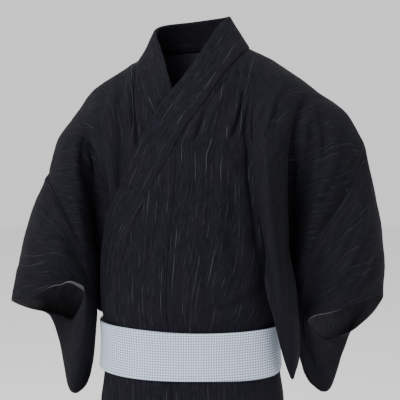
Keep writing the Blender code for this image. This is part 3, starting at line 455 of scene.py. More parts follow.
def reach(grid, axis):
    """Distance of each point of a grid along one of its axes, from the first line."""
    steps = np.cumsum(np.linalg.norm(np.diff(grid, axis=axis), axis=2), axis=axis)
    return np.concatenate([np.zeros_like(steps[:1] if axis == 0 else steps[:, :1]), steps], axis=axis)


def row_position(table, z):
    """Fractional index of the row at a height, in a table that starts with its highest row."""
    heights = [row[0] for row in table]
    z = min(heights[0], max(heights[-1], z))
    i = max(k for k in range(len(table) - 1) if heights[k] >= z)
    return i + (heights[i] - z) / (heights[i] - heights[i + 1])


# The body's rings

def body_point(angle, z, lift=0.0):
    """Point of the body's ring. The angle is in degrees, 0 in front and 90 at the wearer's left."""
    half_width, front, back = along([row[1:] for row in RINGS], row_position(RINGS, z))
    s, c = math.sin(math.radians(angle)), math.cos(math.radians(angle))
    depth = front if c > 0 else back
    r = (abs(s / half_width) ** RING_POWER + abs(c / depth) ** RING_POWER) ** (-1 / RING_POWER) + lift
    return np.array([r * s, -r * c, z])


def body_angle(x, z, back=False):
    """Angle at which the ring at height z reaches x."""
    low, high = -90.0, 90.0
    for _ in range(BISECTIONS):
        middle = (low + high) / 2
        if body_point(middle, z)[0] < x:
            low = middle
        else:
            high = middle
    return 180.0 - low if back else low


def on_body(x, z, lift=0.0, back=False):
    return body_point(body_angle(x, z, back), z, lift)


def lap_lift(angle):
    """Height of the lapped layer over the body's ring at an angle."""
    a = (angle + 180.0) % 360.0 - 180.0
    return OVERLAP_LIFT * (1 - smooth_step(*LAP_ANGLES, a)) * (1 - smooth_step(*LAP_EDGE_ANGLES, -a))


def layer_point(angle, z, lapped):
    return body_point(angle, z, lap_lift(angle) if lapped else 0.0)


# Collar stations

def collar_rows():
    """Free edge and seam of the collar band at each station."""
    rows = []
    for free_x, free_z, seam_x, seam_z in LAPPED_COLLAR:
        rows.append((on_body(free_x, free_z, OVERLAP_LIFT), on_body(seam_x, seam_z, OVERLAP_LIFT)))
    for row in NECK_COLLAR:
        rows.append((np.array(row[:3]), np.array(row[3:])))
    for free_x, free_z, seam_x, seam_z in UNDER_COLLAR:
        rows.append((on_body(free_x, free_z), on_body(seam_x, seam_z)))
    return rows


COLLAR = collar_rows()
COLLAR_FREE = [row[0] for row in COLLAR]
COLLAR_SEAM = [row[1] for row in COLLAR]


def collar_frame(at):
    """Free edge, direction across to the seam, width and outward normal of the band at a station."""
    free, seam = along(COLLAR_FREE, at), along(COLLAR_SEAM, at)
    low, high = max(0.0, at - 0.2), min(len(COLLAR) - 1.0, at + 0.2)
    run = (along(COLLAR_FREE, high) + along(COLLAR_SEAM, high)
           - along(COLLAR_FREE, low) - along(COLLAR_SEAM, low))
    across = seam - free
    width = np.linalg.norm(across)
    across = across / width
    return free, across, width, unit(np.cross(across, run))


def collar_seam(at):
    """Where a panel's edge meets the band, parted by the seam."""
    free, across, width, _ = collar_frame(at)
    return free + across * (width + SEAM)


def gore_edge(table, z, column):
    """Angle of a front gore's seam (column 1) or free edge (column 2) at a height."""
    return float(along([(row[column],) for row in table], row_position(table, z))[0])


# Body panels

def panel_start(gore, z, side, lapped):
    """Where a panel's edge lies along its gore at a height."""
    return layer_point(gore_edge(gore, z, 1) + GORE_PART * side, z, lapped)


def panel_row(row, side, gore, lapped):
    """One row of a body panel, from collar, gore seam or back seam to the armhole."""
    name, start, at, chest, fold, valley, flap, edge = row
    back = start == "back" or name == "nape"
    if start == "collar":
        first = collar_seam(at)
    elif start == "gore":
        first = panel_start(gore, at, side, lapped)
    else:
        first = body_point(180.0, at)
    if back:
        first = first + np.array([side * SEAM, 0.0, 0.0])
    if name in SHOULDER_DEPTHS:
        chest_point = np.array([chest[0], SHOULDER_DEPTHS[name], chest[1]])
        points = [first * (1 - k / COLUMN_SHARES[0]) + chest_point * k / COLUMN_SHARES[0]
                  for k in range(COLUMN_SHARES[0])]
    else:
        points = on_ring_between(first, chest, back, side, lapped and not back)
        chest_point = points.pop()
    control = [points[-1], chest_point, fold, valley, flap, edge]
    for i, share in enumerate(COLUMN_SHARES[1:]):
        points += [along(control, 1 + i + k / share) for k in range(share)]
    return points + [np.asarray(edge, dtype=float)]


def on_ring_between(first, chest, back, side, lapped):
    """Points that follow the body's rings from the row's start to where the front turns."""
    start_angle = math.degrees(math.atan2(first[0], -first[1]))
    end_angle = body_angle(chest[0], chest[1], back)
    if back:
        start_angle = side * abs(start_angle)
        end_angle = end_angle - 360.0 if side < 0 else end_angle
    miss = first - layer_point(start_angle, first[2], lapped)
    points = []
    for k in range(COLUMN_SHARES[0] + 1):
        t = k / COLUMN_SHARES[0]
        angle = start_angle + (end_angle - start_angle) * t
        points.append(layer_point(angle, first[2] * (1 - t) + chest[1] * t, lapped) + miss * (1 - t))
    return points


def skirt_row(z, start_angle, turn_angle, end_angle, lapped):
    """One row of a panel on the body's ring, with the front's or back's turn at turn_angle."""
    first, rest = COLUMN_SHARES[0], sum(COLUMN_SHARES[1:])
    angles = [start_angle + (turn_angle - start_angle) * j / first for j in range(first)]
    angles += [turn_angle + (end_angle - turn_angle) * j / rest for j in range(rest + 1)]
    return [layer_point(a, z, lapped) for a in angles]


def panel_steps(table):
    """Fractional row of each of a panel's finer rows."""
    count = len(BELOW_OBI)
    pieces = [1] * (count - 1) + [2] + [3 if row[1] == "collar" else 2 for row in table[:-1]] + [1] * count
    return [i + k / piece for i, piece in enumerate(pieces) for k in range(piece)] + [len(pieces)]


def first_row(table, word):
    """Index of the first of a panel's rows with this name or start."""
    return len(BELOW_OBI) + next(k for k, row in enumerate(table) if word in row[:2])


def pull_edge(row, first):
    """Moves the start of a row onto its seam and eases the move out over the first stretch."""
    miss = first - row[0]
    for j in range(COLUMN_SHARES[0]):
        row[j] = row[j] + miss * (1 - j / COLUMN_SHARES[0])


def body_panel(side, table, gore, lapped):
    """Rows of one panel up the front, over the shoulder and down the back, its armhole points and the
    points along its gore seam."""
    rows = []
    for z in reversed(BELOW_OBI):
        start = gore_edge(gore, z, 1) + GORE_PART * side
        rows.append(skirt_row(z, start, side * FRONT_TURN, side * (90.0 - SIDE_PART), lapped))
    rows += [panel_row(row, side, gore, lapped) for row in table]
    for z in BELOW_OBI:
        start, end = side * (180.0 - SIDE_PART), side * (90.0 + SIDE_PART)
        rows.append(skirt_row(z, start, side * BACK_TURN, end, False))
    steps = panel_steps(table)
    columns = [np.array([row[j] for row in rows]) for j in range(len(rows[0]))]
    fine = [[along(column, at) for column in columns] for at in steps]
    low = len(BELOW_OBI)
    first_collar, nape = first_row(table, "collar"), first_row(table, "nape")
    stations = [(row[2],) for row in table[first_collar - low:nape - low + 1]]
    armhole, seam_points = [], []
    for row, at in zip(fine, steps):
        if low <= at <= low + len(table) - 1:
            armhole.append(row[-1])
        if at < first_collar:
            pull_edge(row, panel_start(gore, row[0][2], side, lapped))
            seam_points.append(row[0])
        elif at <= nape:
            station = float(along(stations, at - first_collar)[0])
            edge = collar_seam(station)
            if abs(station - NAPE) < 0.5:
                edge[0] = side * max(side * edge[0], SEAM)
            pull_edge(row, edge)
        else:
            pull_edge(row, np.array([side * SEAM, *row[0][1:]]))
    return fine, armhole, seam_points


# Sleeves

def closed_curve(points):
    """Close points along a closed smooth curve, from its first point."""
    closed = np.array([points[-1]] + list(points) + [points[0], points[1]], dtype=float)
    return [along(closed, 1 + k / CURVE_PIECES) for k in range(CURVE_PIECES * len(points) + 1)]


def ring_through(points, fractions):
    """Points at fractions of the length of a closed smooth curve."""
    fine = closed_curve(points)
    lengths = run_lengths(fine)
    found = []
    for f in fractions:
        target = f * lengths[-1]
        k = max(i for i in range(len(lengths) - 1) if lengths[i] <= target + 1e-12)
        t = (target - lengths[k]) / (lengths[k + 1] - lengths[k])
        found.append(fine[k] * (1 - t) + fine[k + 1] * t)
    return found


def shares_between(points, start, end):
    """Share of the way along a run of points, scaled to lie between start and end."""
    lengths = run_lengths(points)
    return [start + (end - start) * v / lengths[-1] for v in lengths]


def seam_share(points):
    """Share of a ring's length at which its lower seam lies."""
    lengths = run_lengths(closed_curve(points))
    return lengths[LOWER_SEAM * CURVE_PIECES] / lengths[-1]


def sleeve_rows(table, armhole):
    """Rings of a sleeve from the armhole, whose points are the panel's own, to the cuff."""
    top = min(range(len(armhole)), key=lambda k: -armhole[k][2])
    lower = [armhole[1], armhole[0], np.array(table[LOWER_SEAM][1]), armhole[-1], armhole[-2]]
    bag = [along(lower, 1 + 2 * k / (BAG_POINTS + 1)) for k in range(1, BAG_POINTS + 1)]
    ring = armhole[top::-1] + bag + armhole[:top:-1]
    tip_index = top + 1 + BAG_POINTS // 2
    rings = [ring]
    for column in (2, 3, 4):
        points = [row[column] for row in table]
        seam = seam_share(points)
        front = shares_between(ring[:tip_index + 1], 0.0, seam)
        back = shares_between(ring[tip_index:] + [ring[0]], seam, 1.0)
        rings.append(ring_through(points, front + back[1:-1]))
    steps = [3.0 * k / SLEEVE_STEPS for k in range(1, SLEEVE_STEPS + 1)]
    columns = [[r[j] for r in rings] for j in range(len(ring))]
    rows = [[along(column, at) for column in columns] for at in steps]
    return [parted_ring(ring, rows[0])] + rows


def parted_ring(ring, following):
    """The armhole's ring moved off its seam, square to the seam and towards the next ring."""
    moved = []
    for j, point in enumerate(ring):
        run = unit(ring[(j + 1) % len(ring)] - ring[j - 1])
        away = following[j] - point
        moved.append(point + unit(away - run * np.dot(away, run)) * ARMHOLE_GAP)
    return moved


# Front gores

def station_at_height(z, lapped):
    """Collar station on the chest whose seam lies at a height."""
    low, high = (0.0, LAPPED_TIP) if lapped else (UNDER_TIP, len(COLLAR) - 1.0)
    for _ in range(BISECTIONS):
        middle = (low + high) / 2
        if (along(COLLAR_SEAM, middle)[2] < z) == lapped:
            low = middle
        else:
            high = middle
    return low


def gore_rows(table, lapped, side, seam_points):
    """Rows of a front gore from the hem to its upper tip on the collar."""
    rows = []
    tip = collar_seam(LAPPED_TIP if lapped else UNDER_TIP)
    for point in seam_points + [seam_points[-1] * (1 - TIP_SHARE) + tip * TIP_SHARE]:
        z = point[2]
        start = math.degrees(math.atan2(point[0], -point[1])) - 2 * GORE_PART * side
        edge = None
        end = gore_edge(table, z, 2)
        if z > COLLAR_END - 0.002:
            edge = collar_seam(station_at_height(z, lapped))
            edge[2] = min(edge[2], z)
            end = math.degrees(math.atan2(edge[0], -edge[1]))
        row = [layer_point(start + (end - start) * j / GORE_COLUMNS, z, lapped)
               for j in range(GORE_COLUMNS + 1)]
        if edge is not None:
            row[-1] = edge
        rows.append(row)
    return rows


# Fine grids of cloth

def curve_weights(count, positions, closed=False):
    """Matrix that takes count points of a smooth curve to the points at the given positions."""
    weights = np.zeros((len(positions), count))
    for row, at in enumerate(positions):
        i = int(math.floor(at)) if closed else min(count - 2, max(0, int(math.floor(at))))
        t = at - i
        shares = (-t + 2 * t**2 - t**3, 2 - 5 * t**2 + 3 * t**3, t + 4 * t**2 - 3 * t**3, t**3 - t**2)
        for k, share in zip(range(i - 1, i + 3), shares):
            if closed:
                weights[row, k % count] += share / 2
            elif k < 0:
                weights[row, 0] += share
                weights[row, 1] -= share / 2
            elif k > count - 1:
                weights[row, count - 1] += share
                weights[row, count - 2] -= share / 2
            else:
                weights[row, k] += share / 2
    return weights


def split_steps(lengths, steps):
    """Positions that split each stretch into pieces of about its step."""
    positions = []
    for i, (length, step) in enumerate(zip(lengths, steps)):
        pieces = max(1, int(round(length / step)))
        positions += [i + k / pieces for k in range(pieces)]
    return positions


class Cloth:
    """A grid of points over one piece of cloth, with its place on the flat cut in metres."""

    def __init__(self, rows, step=FINE_STEP, closed=False, flat=None):
        grid = np.array([[np.asarray(p, dtype=float) for p in row] for row in rows])
        down = np.linalg.norm(np.diff(grid, axis=0), axis=2).mean(axis=1)
        wrapped = np.concatenate([grid, grid[:, :1]], axis=1) if closed else grid
        across = np.linalg.norm(np.diff(wrapped, axis=1), axis=2).mean(axis=0)
        self.closed = closed
        low = grid[..., 2].mean(axis=1) < SKIRT_TOP
        down_steps = [SKIRT_STEP if below and next_below else step for below, next_below in zip(low, low[1:])]
        self.row_at = split_steps(down, down_steps) + [len(rows) - 1]
        column_at = split_steps(across, [step] * len(across)) + ([] if closed else [len(rows[0]) - 1])
        weights = curve_weights(len(rows), self.row_at), curve_weights(len(rows[0]), column_at, closed)
        self.points = np.einsum("ri,cj,ijk->rck", *weights, grid)
        if closed:
            self.flat = flat_round(self)
        else:
            self.flat = np.einsum("ri,cj,ijk->rck", *weights, self.measured(grid) if flat is None else flat)

    @staticmethod
    def measured(grid):
        """Distance across from the first column and along the cloth, at each point of the coarse grid."""
        run = np.zeros(grid.shape[:2])
        middle = np.linalg.norm(np.diff(grid, axis=0), axis=2).mean(axis=1)
        run[1:] = np.cumsum(middle)[:, None]
        return np.stack([reach(grid, 1), run], axis=2)

    def normals(self):
        p = self.points
        if self.closed:
            wide = np.concatenate([p[:, -1:], p, p[:, :1]], axis=1)
            across = wide[:, 2:] - wide[:, :-2]
        else:
            across = np.gradient(p, axis=1)
        n = np.cross(across, np.gradient(p, axis=0))
        n /= np.maximum(np.linalg.norm(n, axis=2, keepdims=True), 1e-9)
        return n * self.outward

    def face(self, inside_point, row, column):
        """Turns the normals so that the point at row and column faces away from inside_point."""
        self.outward = 1.0
        i = int(row * (len(self.row_at) - 1))
        j = int(column * (self.points.shape[1] - 1))
        if np.dot(self.normals()[i, j], self.points[i, j] - np.asarray(inside_point)) < 0:
            self.outward = -1.0
        return self

    def raise_by(self, heights):
        self.points = self.points + self.normals() * heights[..., None]
        return self


def flat_round(cloth):
    """Flat places of a sleeve: along its ring, and out from its armhole."""
    p = cloth.points
    wrapped = np.concatenate([p, p[:, :1]], axis=1)
    ring = np.linalg.norm(np.diff(wrapped, axis=1), axis=2).mean(axis=0)
    run = np.concatenate([[0.0], np.cumsum(ring)[:-1]])
    out = np.array(cloth.row_at) / cloth.row_at[-1] * SLEEVE_WIDTH
    return np.stack([np.broadcast_to(out[:, None], p.shape[:2]), np.broadcast_to(run, p.shape[:2])], axis=2)


def seen(points, facing):
    """Where points lie as seen by the eye in front of the robe, or straight from behind."""
    x, y, z = points[..., 0], points[..., 1], points[..., 2]
    far = (EYE_DISTANCE + y) / FRONT_PLANE if facing == FRONT else 1.0
    return np.stack([x / far, z / far], axis=-1)


def crease_heights(cloth, folds, facing):
    """Heights of soft folds laid along the given paths."""
    flat = seen(cloth.points, facing)
    shown = np.clip((cloth.normals() @ np.array(facing) + 0.10) / 0.25, 0.0, 1.0)
    total = np.zeros(flat.shape[:2])
    for path, depth, width, kind in folds:
        fine = [along(path, (len(path) - 1) * k / PATH_PIECES) for k in range(PATH_PIECES + 1)]
        nearest = np.full(flat.shape[:2], 9.0)
        signed = np.zeros(flat.shape[:2])
        share = np.zeros(flat.shape[:2])
        for k, (a, b) in enumerate(zip(fine, fine[1:])):
            run = b - a
            t = np.clip(((flat - a) @ run) / np.dot(run, run), 0.0, 1.0)
            away = flat - a - t[..., None] * run
            distance = np.linalg.norm(away, axis=-1)
            closer = distance < nearest
            nearest = np.where(closer, distance, nearest)
            turn = run[0] * away[..., 1] - run[1] * away[..., 0]
            signed = np.where(closer, np.sign(turn) * distance, signed)
            share = np.where(closer, (k + t) / PATH_PIECES, share)
        height = shown * np.sqrt(np.clip(np.sin(np.pi * share), 0.0, 1.0)) * depth
        core = np.exp(-(nearest / width) ** 2)
        if kind == "trough":
            ridge = np.exp(-((nearest - RIDGE_AT * width) / (RIDGE_WIDTH * width)) ** 2)
            total += height * (RIDGE_HEIGHT * ridge - core)
        elif kind == "ridge":
            total += height * core
        else:
            s = signed / width
            over = np.exp(-np.clip(s, 0.0, None) / 3.5) / (1 + np.exp(-s * 4.0))
            under = np.exp(-(np.clip(-s, 0.0, None) - 0.8) ** 2 / 1.4) * (s < 0)
            total += height * (over - 0.55 * under)
    return total


def soft_waves(cloth, height, across, run, seed):
    """Low uneven waves of worn cotton, longer along the cloth than across it."""
    waves = np.zeros(cloth.flat.shape[:2])
    for place in np.ndindex(waves.shape):
        u, v = cloth.flat[place]
        at = Vector((u / across, v / run, seed))
        waves[place] = noise.noise(at) + 0.5 * noise.noise(at * 2.3 + Vector((7.0, 3.0, 1.0)))
    return waves * height


def from_seams(cloth, sides):
    """Distance of each point from the nearest of the named sewn sides."""
    across = reach(cloth.points, 1)
    distances = {"start": across, "end": across[:, -1:] - across, "first": reach(cloth.points, 0)}
    return np.minimum.reduce([distances[side] for side in sides])


def dressed(cloth, piece, sewn, wave=0.0010, seed=0.0):
    """Adds a piece's folds and the low waves of worn cotton, which die out at a seam, where the cloth
    turns in a little."""
    heights = soft_waves(cloth, wave, 0.035, 0.10, seed)
    for facing, folds in ((FRONT, FRONT_FOLDS), (BACK, BACK_FOLDS)):
        if piece in folds:
            heights = heights + crease_heights(cloth, folds[piece], facing)
    away = from_seams(cloth, sewn)
    t = np.clip(away / SEAM_CALM, 0.0, 1.0)
    calm = t * t * (3 - 2 * t)
    return cloth.raise_by(heights * calm - SEAM_DIP * np.exp(-(away / SEAM_ROLL) ** 2))


# Objects

def add_object(name, vertices, faces, finishes, cut=None):
    """An object whose UV map, where it has one, holds its place on the flat cut in metres."""
    mesh = bpy.data.meshes.new(name)
    mesh.from_pydata(vertices, [], faces)
    for finish in finishes:
        mesh.materials.append(finish)
    if cut:
        mesh.uv_layers.new(name="cut").data.foreach_set("uv", cut)
        mesh.shade_smooth()
    made = bpy.data.objects.new(name, mesh)
    bpy.context.scene.collection.objects.link(made)
    return made


def make_cloth(cloth, name, finishes):
    """The shown sheet: a thin wall on the grid, right side out, with the reverse of the cloth inside."""
    rows, columns = cloth.points.shape[:2]
    faces, places = [], []
    for i in range(rows - 1):
        for j in range(columns if cloth.closed else columns - 1):
            k = (j + 1) % columns
            corners = [(i, j), (i, k), (i + 1, k), (i + 1, j)]
            if cloth.outward < 0:
                corners = corners[::-1]
            faces.append([a * columns + b for a, b in corners])
            for a, b in corners:
                u, v = cloth.flat[a, b]
                if cloth.closed and k == 0 and b == 0:
                    v = cloth.flat[a, -1, 1] + np.linalg.norm(cloth.points[a, 0] - cloth.points[a, -1])
                places += [u, v]
    piece = add_object(name, cloth.points.reshape(-1, 3).tolist(), faces, finishes, places)
    wall = piece.modifiers.new("wall", "SOLIDIFY")
    wall.thickness = CLOTH
    wall.offset = 0.0
    wall.material_offset = 1
    wall.material_offset_rim = 1
    return piece


def round_profile(half_wall, start, end):
    """A flat strip's outline with rounded edges, from across = start to end."""
    arc, straight = 5, 12
    run = end - start - 2 * half_wall
    profile = []
    for centre, sign in ((start + half_wall, 1), (end - half_wall, -1)):
        for k in range(arc + 1):
            turn = sign * math.pi / 2 + math.pi * k / arc
            profile.append((centre + half_wall * math.cos(turn), half_wall * math.sin(turn)))
        profile += [(centre + sign * run * k / straight, -sign * half_wall) for k in range(1, straight)]
    return profile


def strip(name, stations, section, closed_run, finish):
    """A closed piece swept through sections, each a list of (point, across, along)."""
    rows = [section(at) for at in stations]
    vertices = [tuple(point) for row in rows for point, u, v in row]
    places = [(u, v) for row in rows for point, u, v in row]
    count = len(rows[0])
    faces = []
    for i in range(len(rows) if closed_run else len(rows) - 1):
        n = (i + 1) % len(rows)
        for j in range(count):
            k = (j + 1) % count
            faces.append((i * count + j, i * count + k, n * count + k, n * count + j))
    if not closed_run:
        last = (len(rows) - 1) * count
        faces += [tuple(range(count))[::-1], tuple(last + j for j in range(count))]
    cut = [value for face in faces for corner in face for value in places[corner]]
    piece = add_object(name, vertices, faces, [finish], cut)
    bm = bmesh.new()
    bm.from_mesh(piece.data)
    bmesh.ops.recalc_face_normals(bm, faces=bm.faces)
    bm.to_mesh(piece.data)
    bm.free()
    return piece


def hand_over(piece, node):
    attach(piece, "root")
    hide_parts(node)


# Finishes

class Value:
    """A shader output with the arithmetic that the finishes use."""

    def __init__(self, finish, link):
        self.finish, self.link = finish, link

    def math(self, operation, other=0.0):
        return self.finish.node("ShaderNodeMath", {"operation": operation}, {0: self, 1: other})

    def __add__(self, other):
        return self.math("ADD", other)

    def __sub__(self, other):
        return self.math("SUBTRACT", other)

    def __mul__(self, other):
        return self.math("MULTIPLY", other)

    def __truediv__(self, other):
        return self.math("DIVIDE", other)

    def fraction(self):
        return self.math("FRACT")

    def between(self, low, high, start=0.0, end=1.0):
        """Smooth step from start at low to end at high."""
        return self.finish.node("ShaderNodeMapRange", {"interpolation_type": "SMOOTHSTEP"},
                                {"Value": self, "From Min": low, "From Max": high,
                                 "To Min": start, "To Max": end})


class Finish:
    """A procedural finish of one cloth."""

    def __init__(self, name, **fixed):
        self.material = bpy.data.materials.new(name)
        self.material.use_nodes = True
        self.tree = self.material.node_tree
        self.shader = self.tree.nodes["Principled BSDF"]
        for socket, value in fixed.items():
            self.shader.inputs[socket.replace("_", " ")].default_value = value

    def put(self, socket, value):
        if isinstance(value, Value):
            self.tree.links.new(value.link, socket)
        else:
            socket.default_value = value

    def node(self, kind, settings=None, values=None, output=0):
        made = self.tree.nodes.new(kind)
        for key, value in (settings or {}).items():
            setattr(made, key, value)
        for key, value in (values or {}).items():
            self.put(made.inputs[key], value)
        return Value(self, made.outputs[output])

    def cut(self):
        """Distances across and along the flat cloth, in metres."""
        place = self.node("ShaderNodeUVMap", {"uv_map": "cut"})
        return [self.node("ShaderNodeSeparateXYZ", None, {0: place}, axis) for axis in (0, 1)]

    def point(self, x, y, z=0.0):
        return self.node("ShaderNodeCombineXYZ", None, {0: x, 1: y, 2: z})

    def noise(self, at, detail=2.0, roughness=0.5):
        return self.node("ShaderNodeTexNoise", None,
                         {"Vector": at, "Scale": 1.0, "Detail": detail, "Roughness": roughness})

    def blend(self, factor, first, second):
        return self.node("ShaderNodeMix", {"data_type": "RGBA"}, {0: factor, 6: first, 7: second}, 2)

    def colour(self, value):
        self.put(self.shader.inputs["Base Color"], value)

    def bump(self, height, strength, distance=0.0008):
        relief = self.node("ShaderNodeBump", None,
                           {"Height": height, "Strength": strength, "Distance": distance})
        self.put(self.shader.inputs["Normal"], relief)


def toned(colour, red=1.0, green=None, blue=None):
    """A colour with its channels scaled. One share scales all three."""
    shares = (red, red if green is None else green, red if blue is None else blue)
    return (*[c * share for c, share in zip(colour, shares)], 1.0)


def stripes(finish, u, v, pitch, half_width, dash, seed):
    """Thin lines along the cloth at uneven spacings, each broken at its own places."""
    cell = {"voronoi_dimensions": "1D", "feature": "F1"}
    values = {"W": u / pitch + seed, "Scale": 1.0, "Randomness": 1.0}
    distance = finish.node("ShaderNodeTexVoronoi", cell, values, 0) * pitch
    colour = finish.node("ShaderNodeTexVoronoi", cell, values, 1)
    own = finish.node("ShaderNodeSeparateColor", None, {0: colour}, 0)
    line = distance.between(half_width * 0.5, half_width * 1.5, 1.0, 0.0)
    broken = finish.noise(finish.point(own * 60.0, v / dash, seed), 3.0, 0.65).between(0.46, 0.66)
    return line * broken * (own * 0.75 + 0.25)


def cotton_finish(name, dark, pale, stripe_strength, slub=1.0):
    finish = Finish(name, Roughness=0.9, Specular_IOR_Level=0.07, Sheen_Weight=0.012, Sheen_Roughness=0.4)
    u, v = finish.cut()
    warp = finish.noise(finish.point(u / 0.0011, v / 0.016), 3.0, 0.6)
    slubs = finish.noise(finish.point(u / 0.0030, v / 0.030, 21.0), 3.0, 0.7)
    weft = finish.noise(finish.point(u / 0.018, v / 0.0012, 4.0), 2.0, 0.6)
    cloud = finish.noise(finish.point(u / 0.06, v / 0.11, 9.0), 2.0)
    line = (stripes(finish, u, v, STRIPE_PITCH, 0.00034, 0.058, 3.0)
            + stripes(finish, u, v, STRIPE_PITCH * 0.43, 0.00032, 0.040, 11.0) * 0.36)
    body = finish.blend(warp.between(0.35, 0.68), toned(dark, 0.62), toned(dark, 1.45))
    for share, colour in ((weft.between(0.45, 0.75) * 0.4, toned(dark, 2.0)),
                          (slubs.between(0.44, 0.70) * 0.7, toned(dark, 1.9, 1.7, 1.7)),
                          (slubs.between(0.50, 0.34) * 0.6, toned(dark, 0.35)),
                          (cloud.between(0.42, 0.66) * 0.55, toned(dark, 1.6, 1.0, 1.15)),
                          (line * stripe_strength, toned(pale))):
        body = finish.blend(share, body, colour)
    finish.colour(body)
    finish.bump(warp * 0.6 + weft * 0.3 + line * 0.5, 0.35 * slub)
    return finish.material


def obi_finish(name):
    finish = Finish(name, Roughness=0.62, Sheen_Weight=0.05)
    u, v = finish.cut()
    across = (u / DOT_PITCH).fraction() - 0.5
    along_run = (v / DOT_PITCH).fraction() - 0.5
    dot = (across * across + along_run * along_run).between(0.060, 0.150, 1.0, 0.0)
    rib = (u / (DOT_PITCH / 3)).fraction() - 0.5
    ridge = (rib * rib).between(0.0, 0.25, 1.0, 0.0)
    check = finish.noise(finish.point(u / 0.0022, v / 0.0014), 2.0)
    tone = finish.noise(finish.point(u / 0.05, v / 0.09, 5.0), 2.0)
    ground = finish.blend(check.between(0.35, 0.65), (0.24, 0.30, 0.40, 1.0), (0.46, 0.53, 0.62, 1.0))
    ground = finish.blend(tone.between(0.35, 0.65) * 0.3, ground, (0.30, 0.38, 0.50, 1.0))
    ground = finish.blend(ridge * 0.35, ground, (0.62, 0.67, 0.74, 1.0))
    finish.colour(finish.blend(dot * 0.92, ground, (0.030, 0.045, 0.085, 1.0)))
    finish.bump(ridge * 0.5 + check * 0.4 - dot * 0.7, 0.4)
    return finish.material


def floor_finish(name, colour):
    finish = Finish(name, Roughness=0.9)
    grain = finish.noise(finish.node("ShaderNodeTexCoord", None, None, 3), 3.0)
    finish.colour(finish.blend(grain * 0.04, toned(colour), toned(colour, 0.92)))
    return finish.material


cotton = cotton_finish("dark striped cotton", (0.0036, 0.0040, 0.0062), (0.066, 0.072, 0.084), 0.68)
reverse = cotton_finish("reverse of the cotton", (0.010, 0.011, 0.014), (0.05, 0.053, 0.060), 0.4, 1.3)
sleeve_reverse = cotton_finish("reverse of the sleeves", (0.042, 0.044, 0.049), (0.13, 0.135, 0.14), 0.4, 1.8)
obi_cloth = obi_finish("dotted obi weave")


# Panels, gores and sleeves

def panel_flat(rows, table):
    """Flat place of each point: the panel is one straight length, its stripes parallel to the armhole."""
    grid = np.array(rows)
    across = reach(grid, 1)
    share = across / across[:, -1:]
    steps = panel_steps(table)
    collar, shoulder, nape = [first_row(table, word) for word in ("collar", "shoulder top", "nape")]
    middle = np.linalg.norm(np.diff(grid[:, MIDDLE_COLUMNS].mean(axis=1), axis=0), axis=1)
    run = np.concatenate([[0.0], np.cumsum(middle)])
    flat = np.zeros(grid.shape[:2] + (2,))
    flat[..., 1] = run[:, None]
    for k, at in enumerate(steps):
        cut = NECK_CUT * smooth_step(collar, shoulder, at) * (1 - smooth_step(shoulder, nape, at))
        flat[k, :, 0] = cut + (PANEL_WIDTH - cut) * share[k]
    for _ in range(3):
        flat[1:-1, :, 0] = (flat[:-2, :, 0] + 2 * flat[1:-1, :, 0] + flat[2:, :, 0]) / 4
    # Towards the arm the cloth is drawn out sideways, so that its stripes slant.
    below = np.clip(run[steps.index(shoulder)] - run, 0.0, SLANT_REACH)[:, None]
    pulled = np.clip((np.arange(grid.shape[1]) - 3.5) / 4.0, 0.0, 1.0)[None, :]
    flat[..., 0] += ARM_SLANT * below * pulled
    return flat


cloths, panel_grids, armholes, gore_seams = {}, {}, {}, {}
for name, side, table, gore, seed in (("body_left", 1, LEFT_PANEL, LAPPED_GORE, 2.0),
                                      ("body_right", -1, RIGHT_PANEL, UNDER_GORE, 31.0)):
    rows, armholes[side], gore_seams[side] = body_panel(side, table, gore, side > 0)
    panel_grids[side] = rows, panel_flat(rows, table)
    panel = Cloth(rows, flat=panel_grids[side][1]).face((side * 0.08, 0.0, -0.4), 0.35, 0.2)
    cloths[name] = dressed(panel, name, ("start", "end"), seed=seed)

for name, side, table, origin, seed in (("okumi_left", 1, LAPPED_GORE, 0.0, 51.0),
                                        ("okumi_right", -1, UNDER_GORE, 0.4, 61.0)):
    gore = Cloth(gore_rows(table, side > 0, side, gore_seams[side])).face((0.0, 0.0, -0.6), 0.4, 0.5)
    gore.flat[..., 0] += origin
    cloths[name] = dressed(gore, name, ("start",), 0.0008, seed)

for name, side, table, seed in (("sleeve_left", 1, LEFT_SLEEVE, 71.0),
                                ("sleeve_right", -1, RIGHT_SLEEVE, 83.0)):
    sleeve = Cloth(sleeve_rows(table, armholes[side]), closed=True).face((side * 0.29, 0.0, -0.42), 0.3, 0.0)
    cloths[name] = dressed(sleeve, name, ("first",), seed=seed)


# The fold of the left front that hangs over the obi

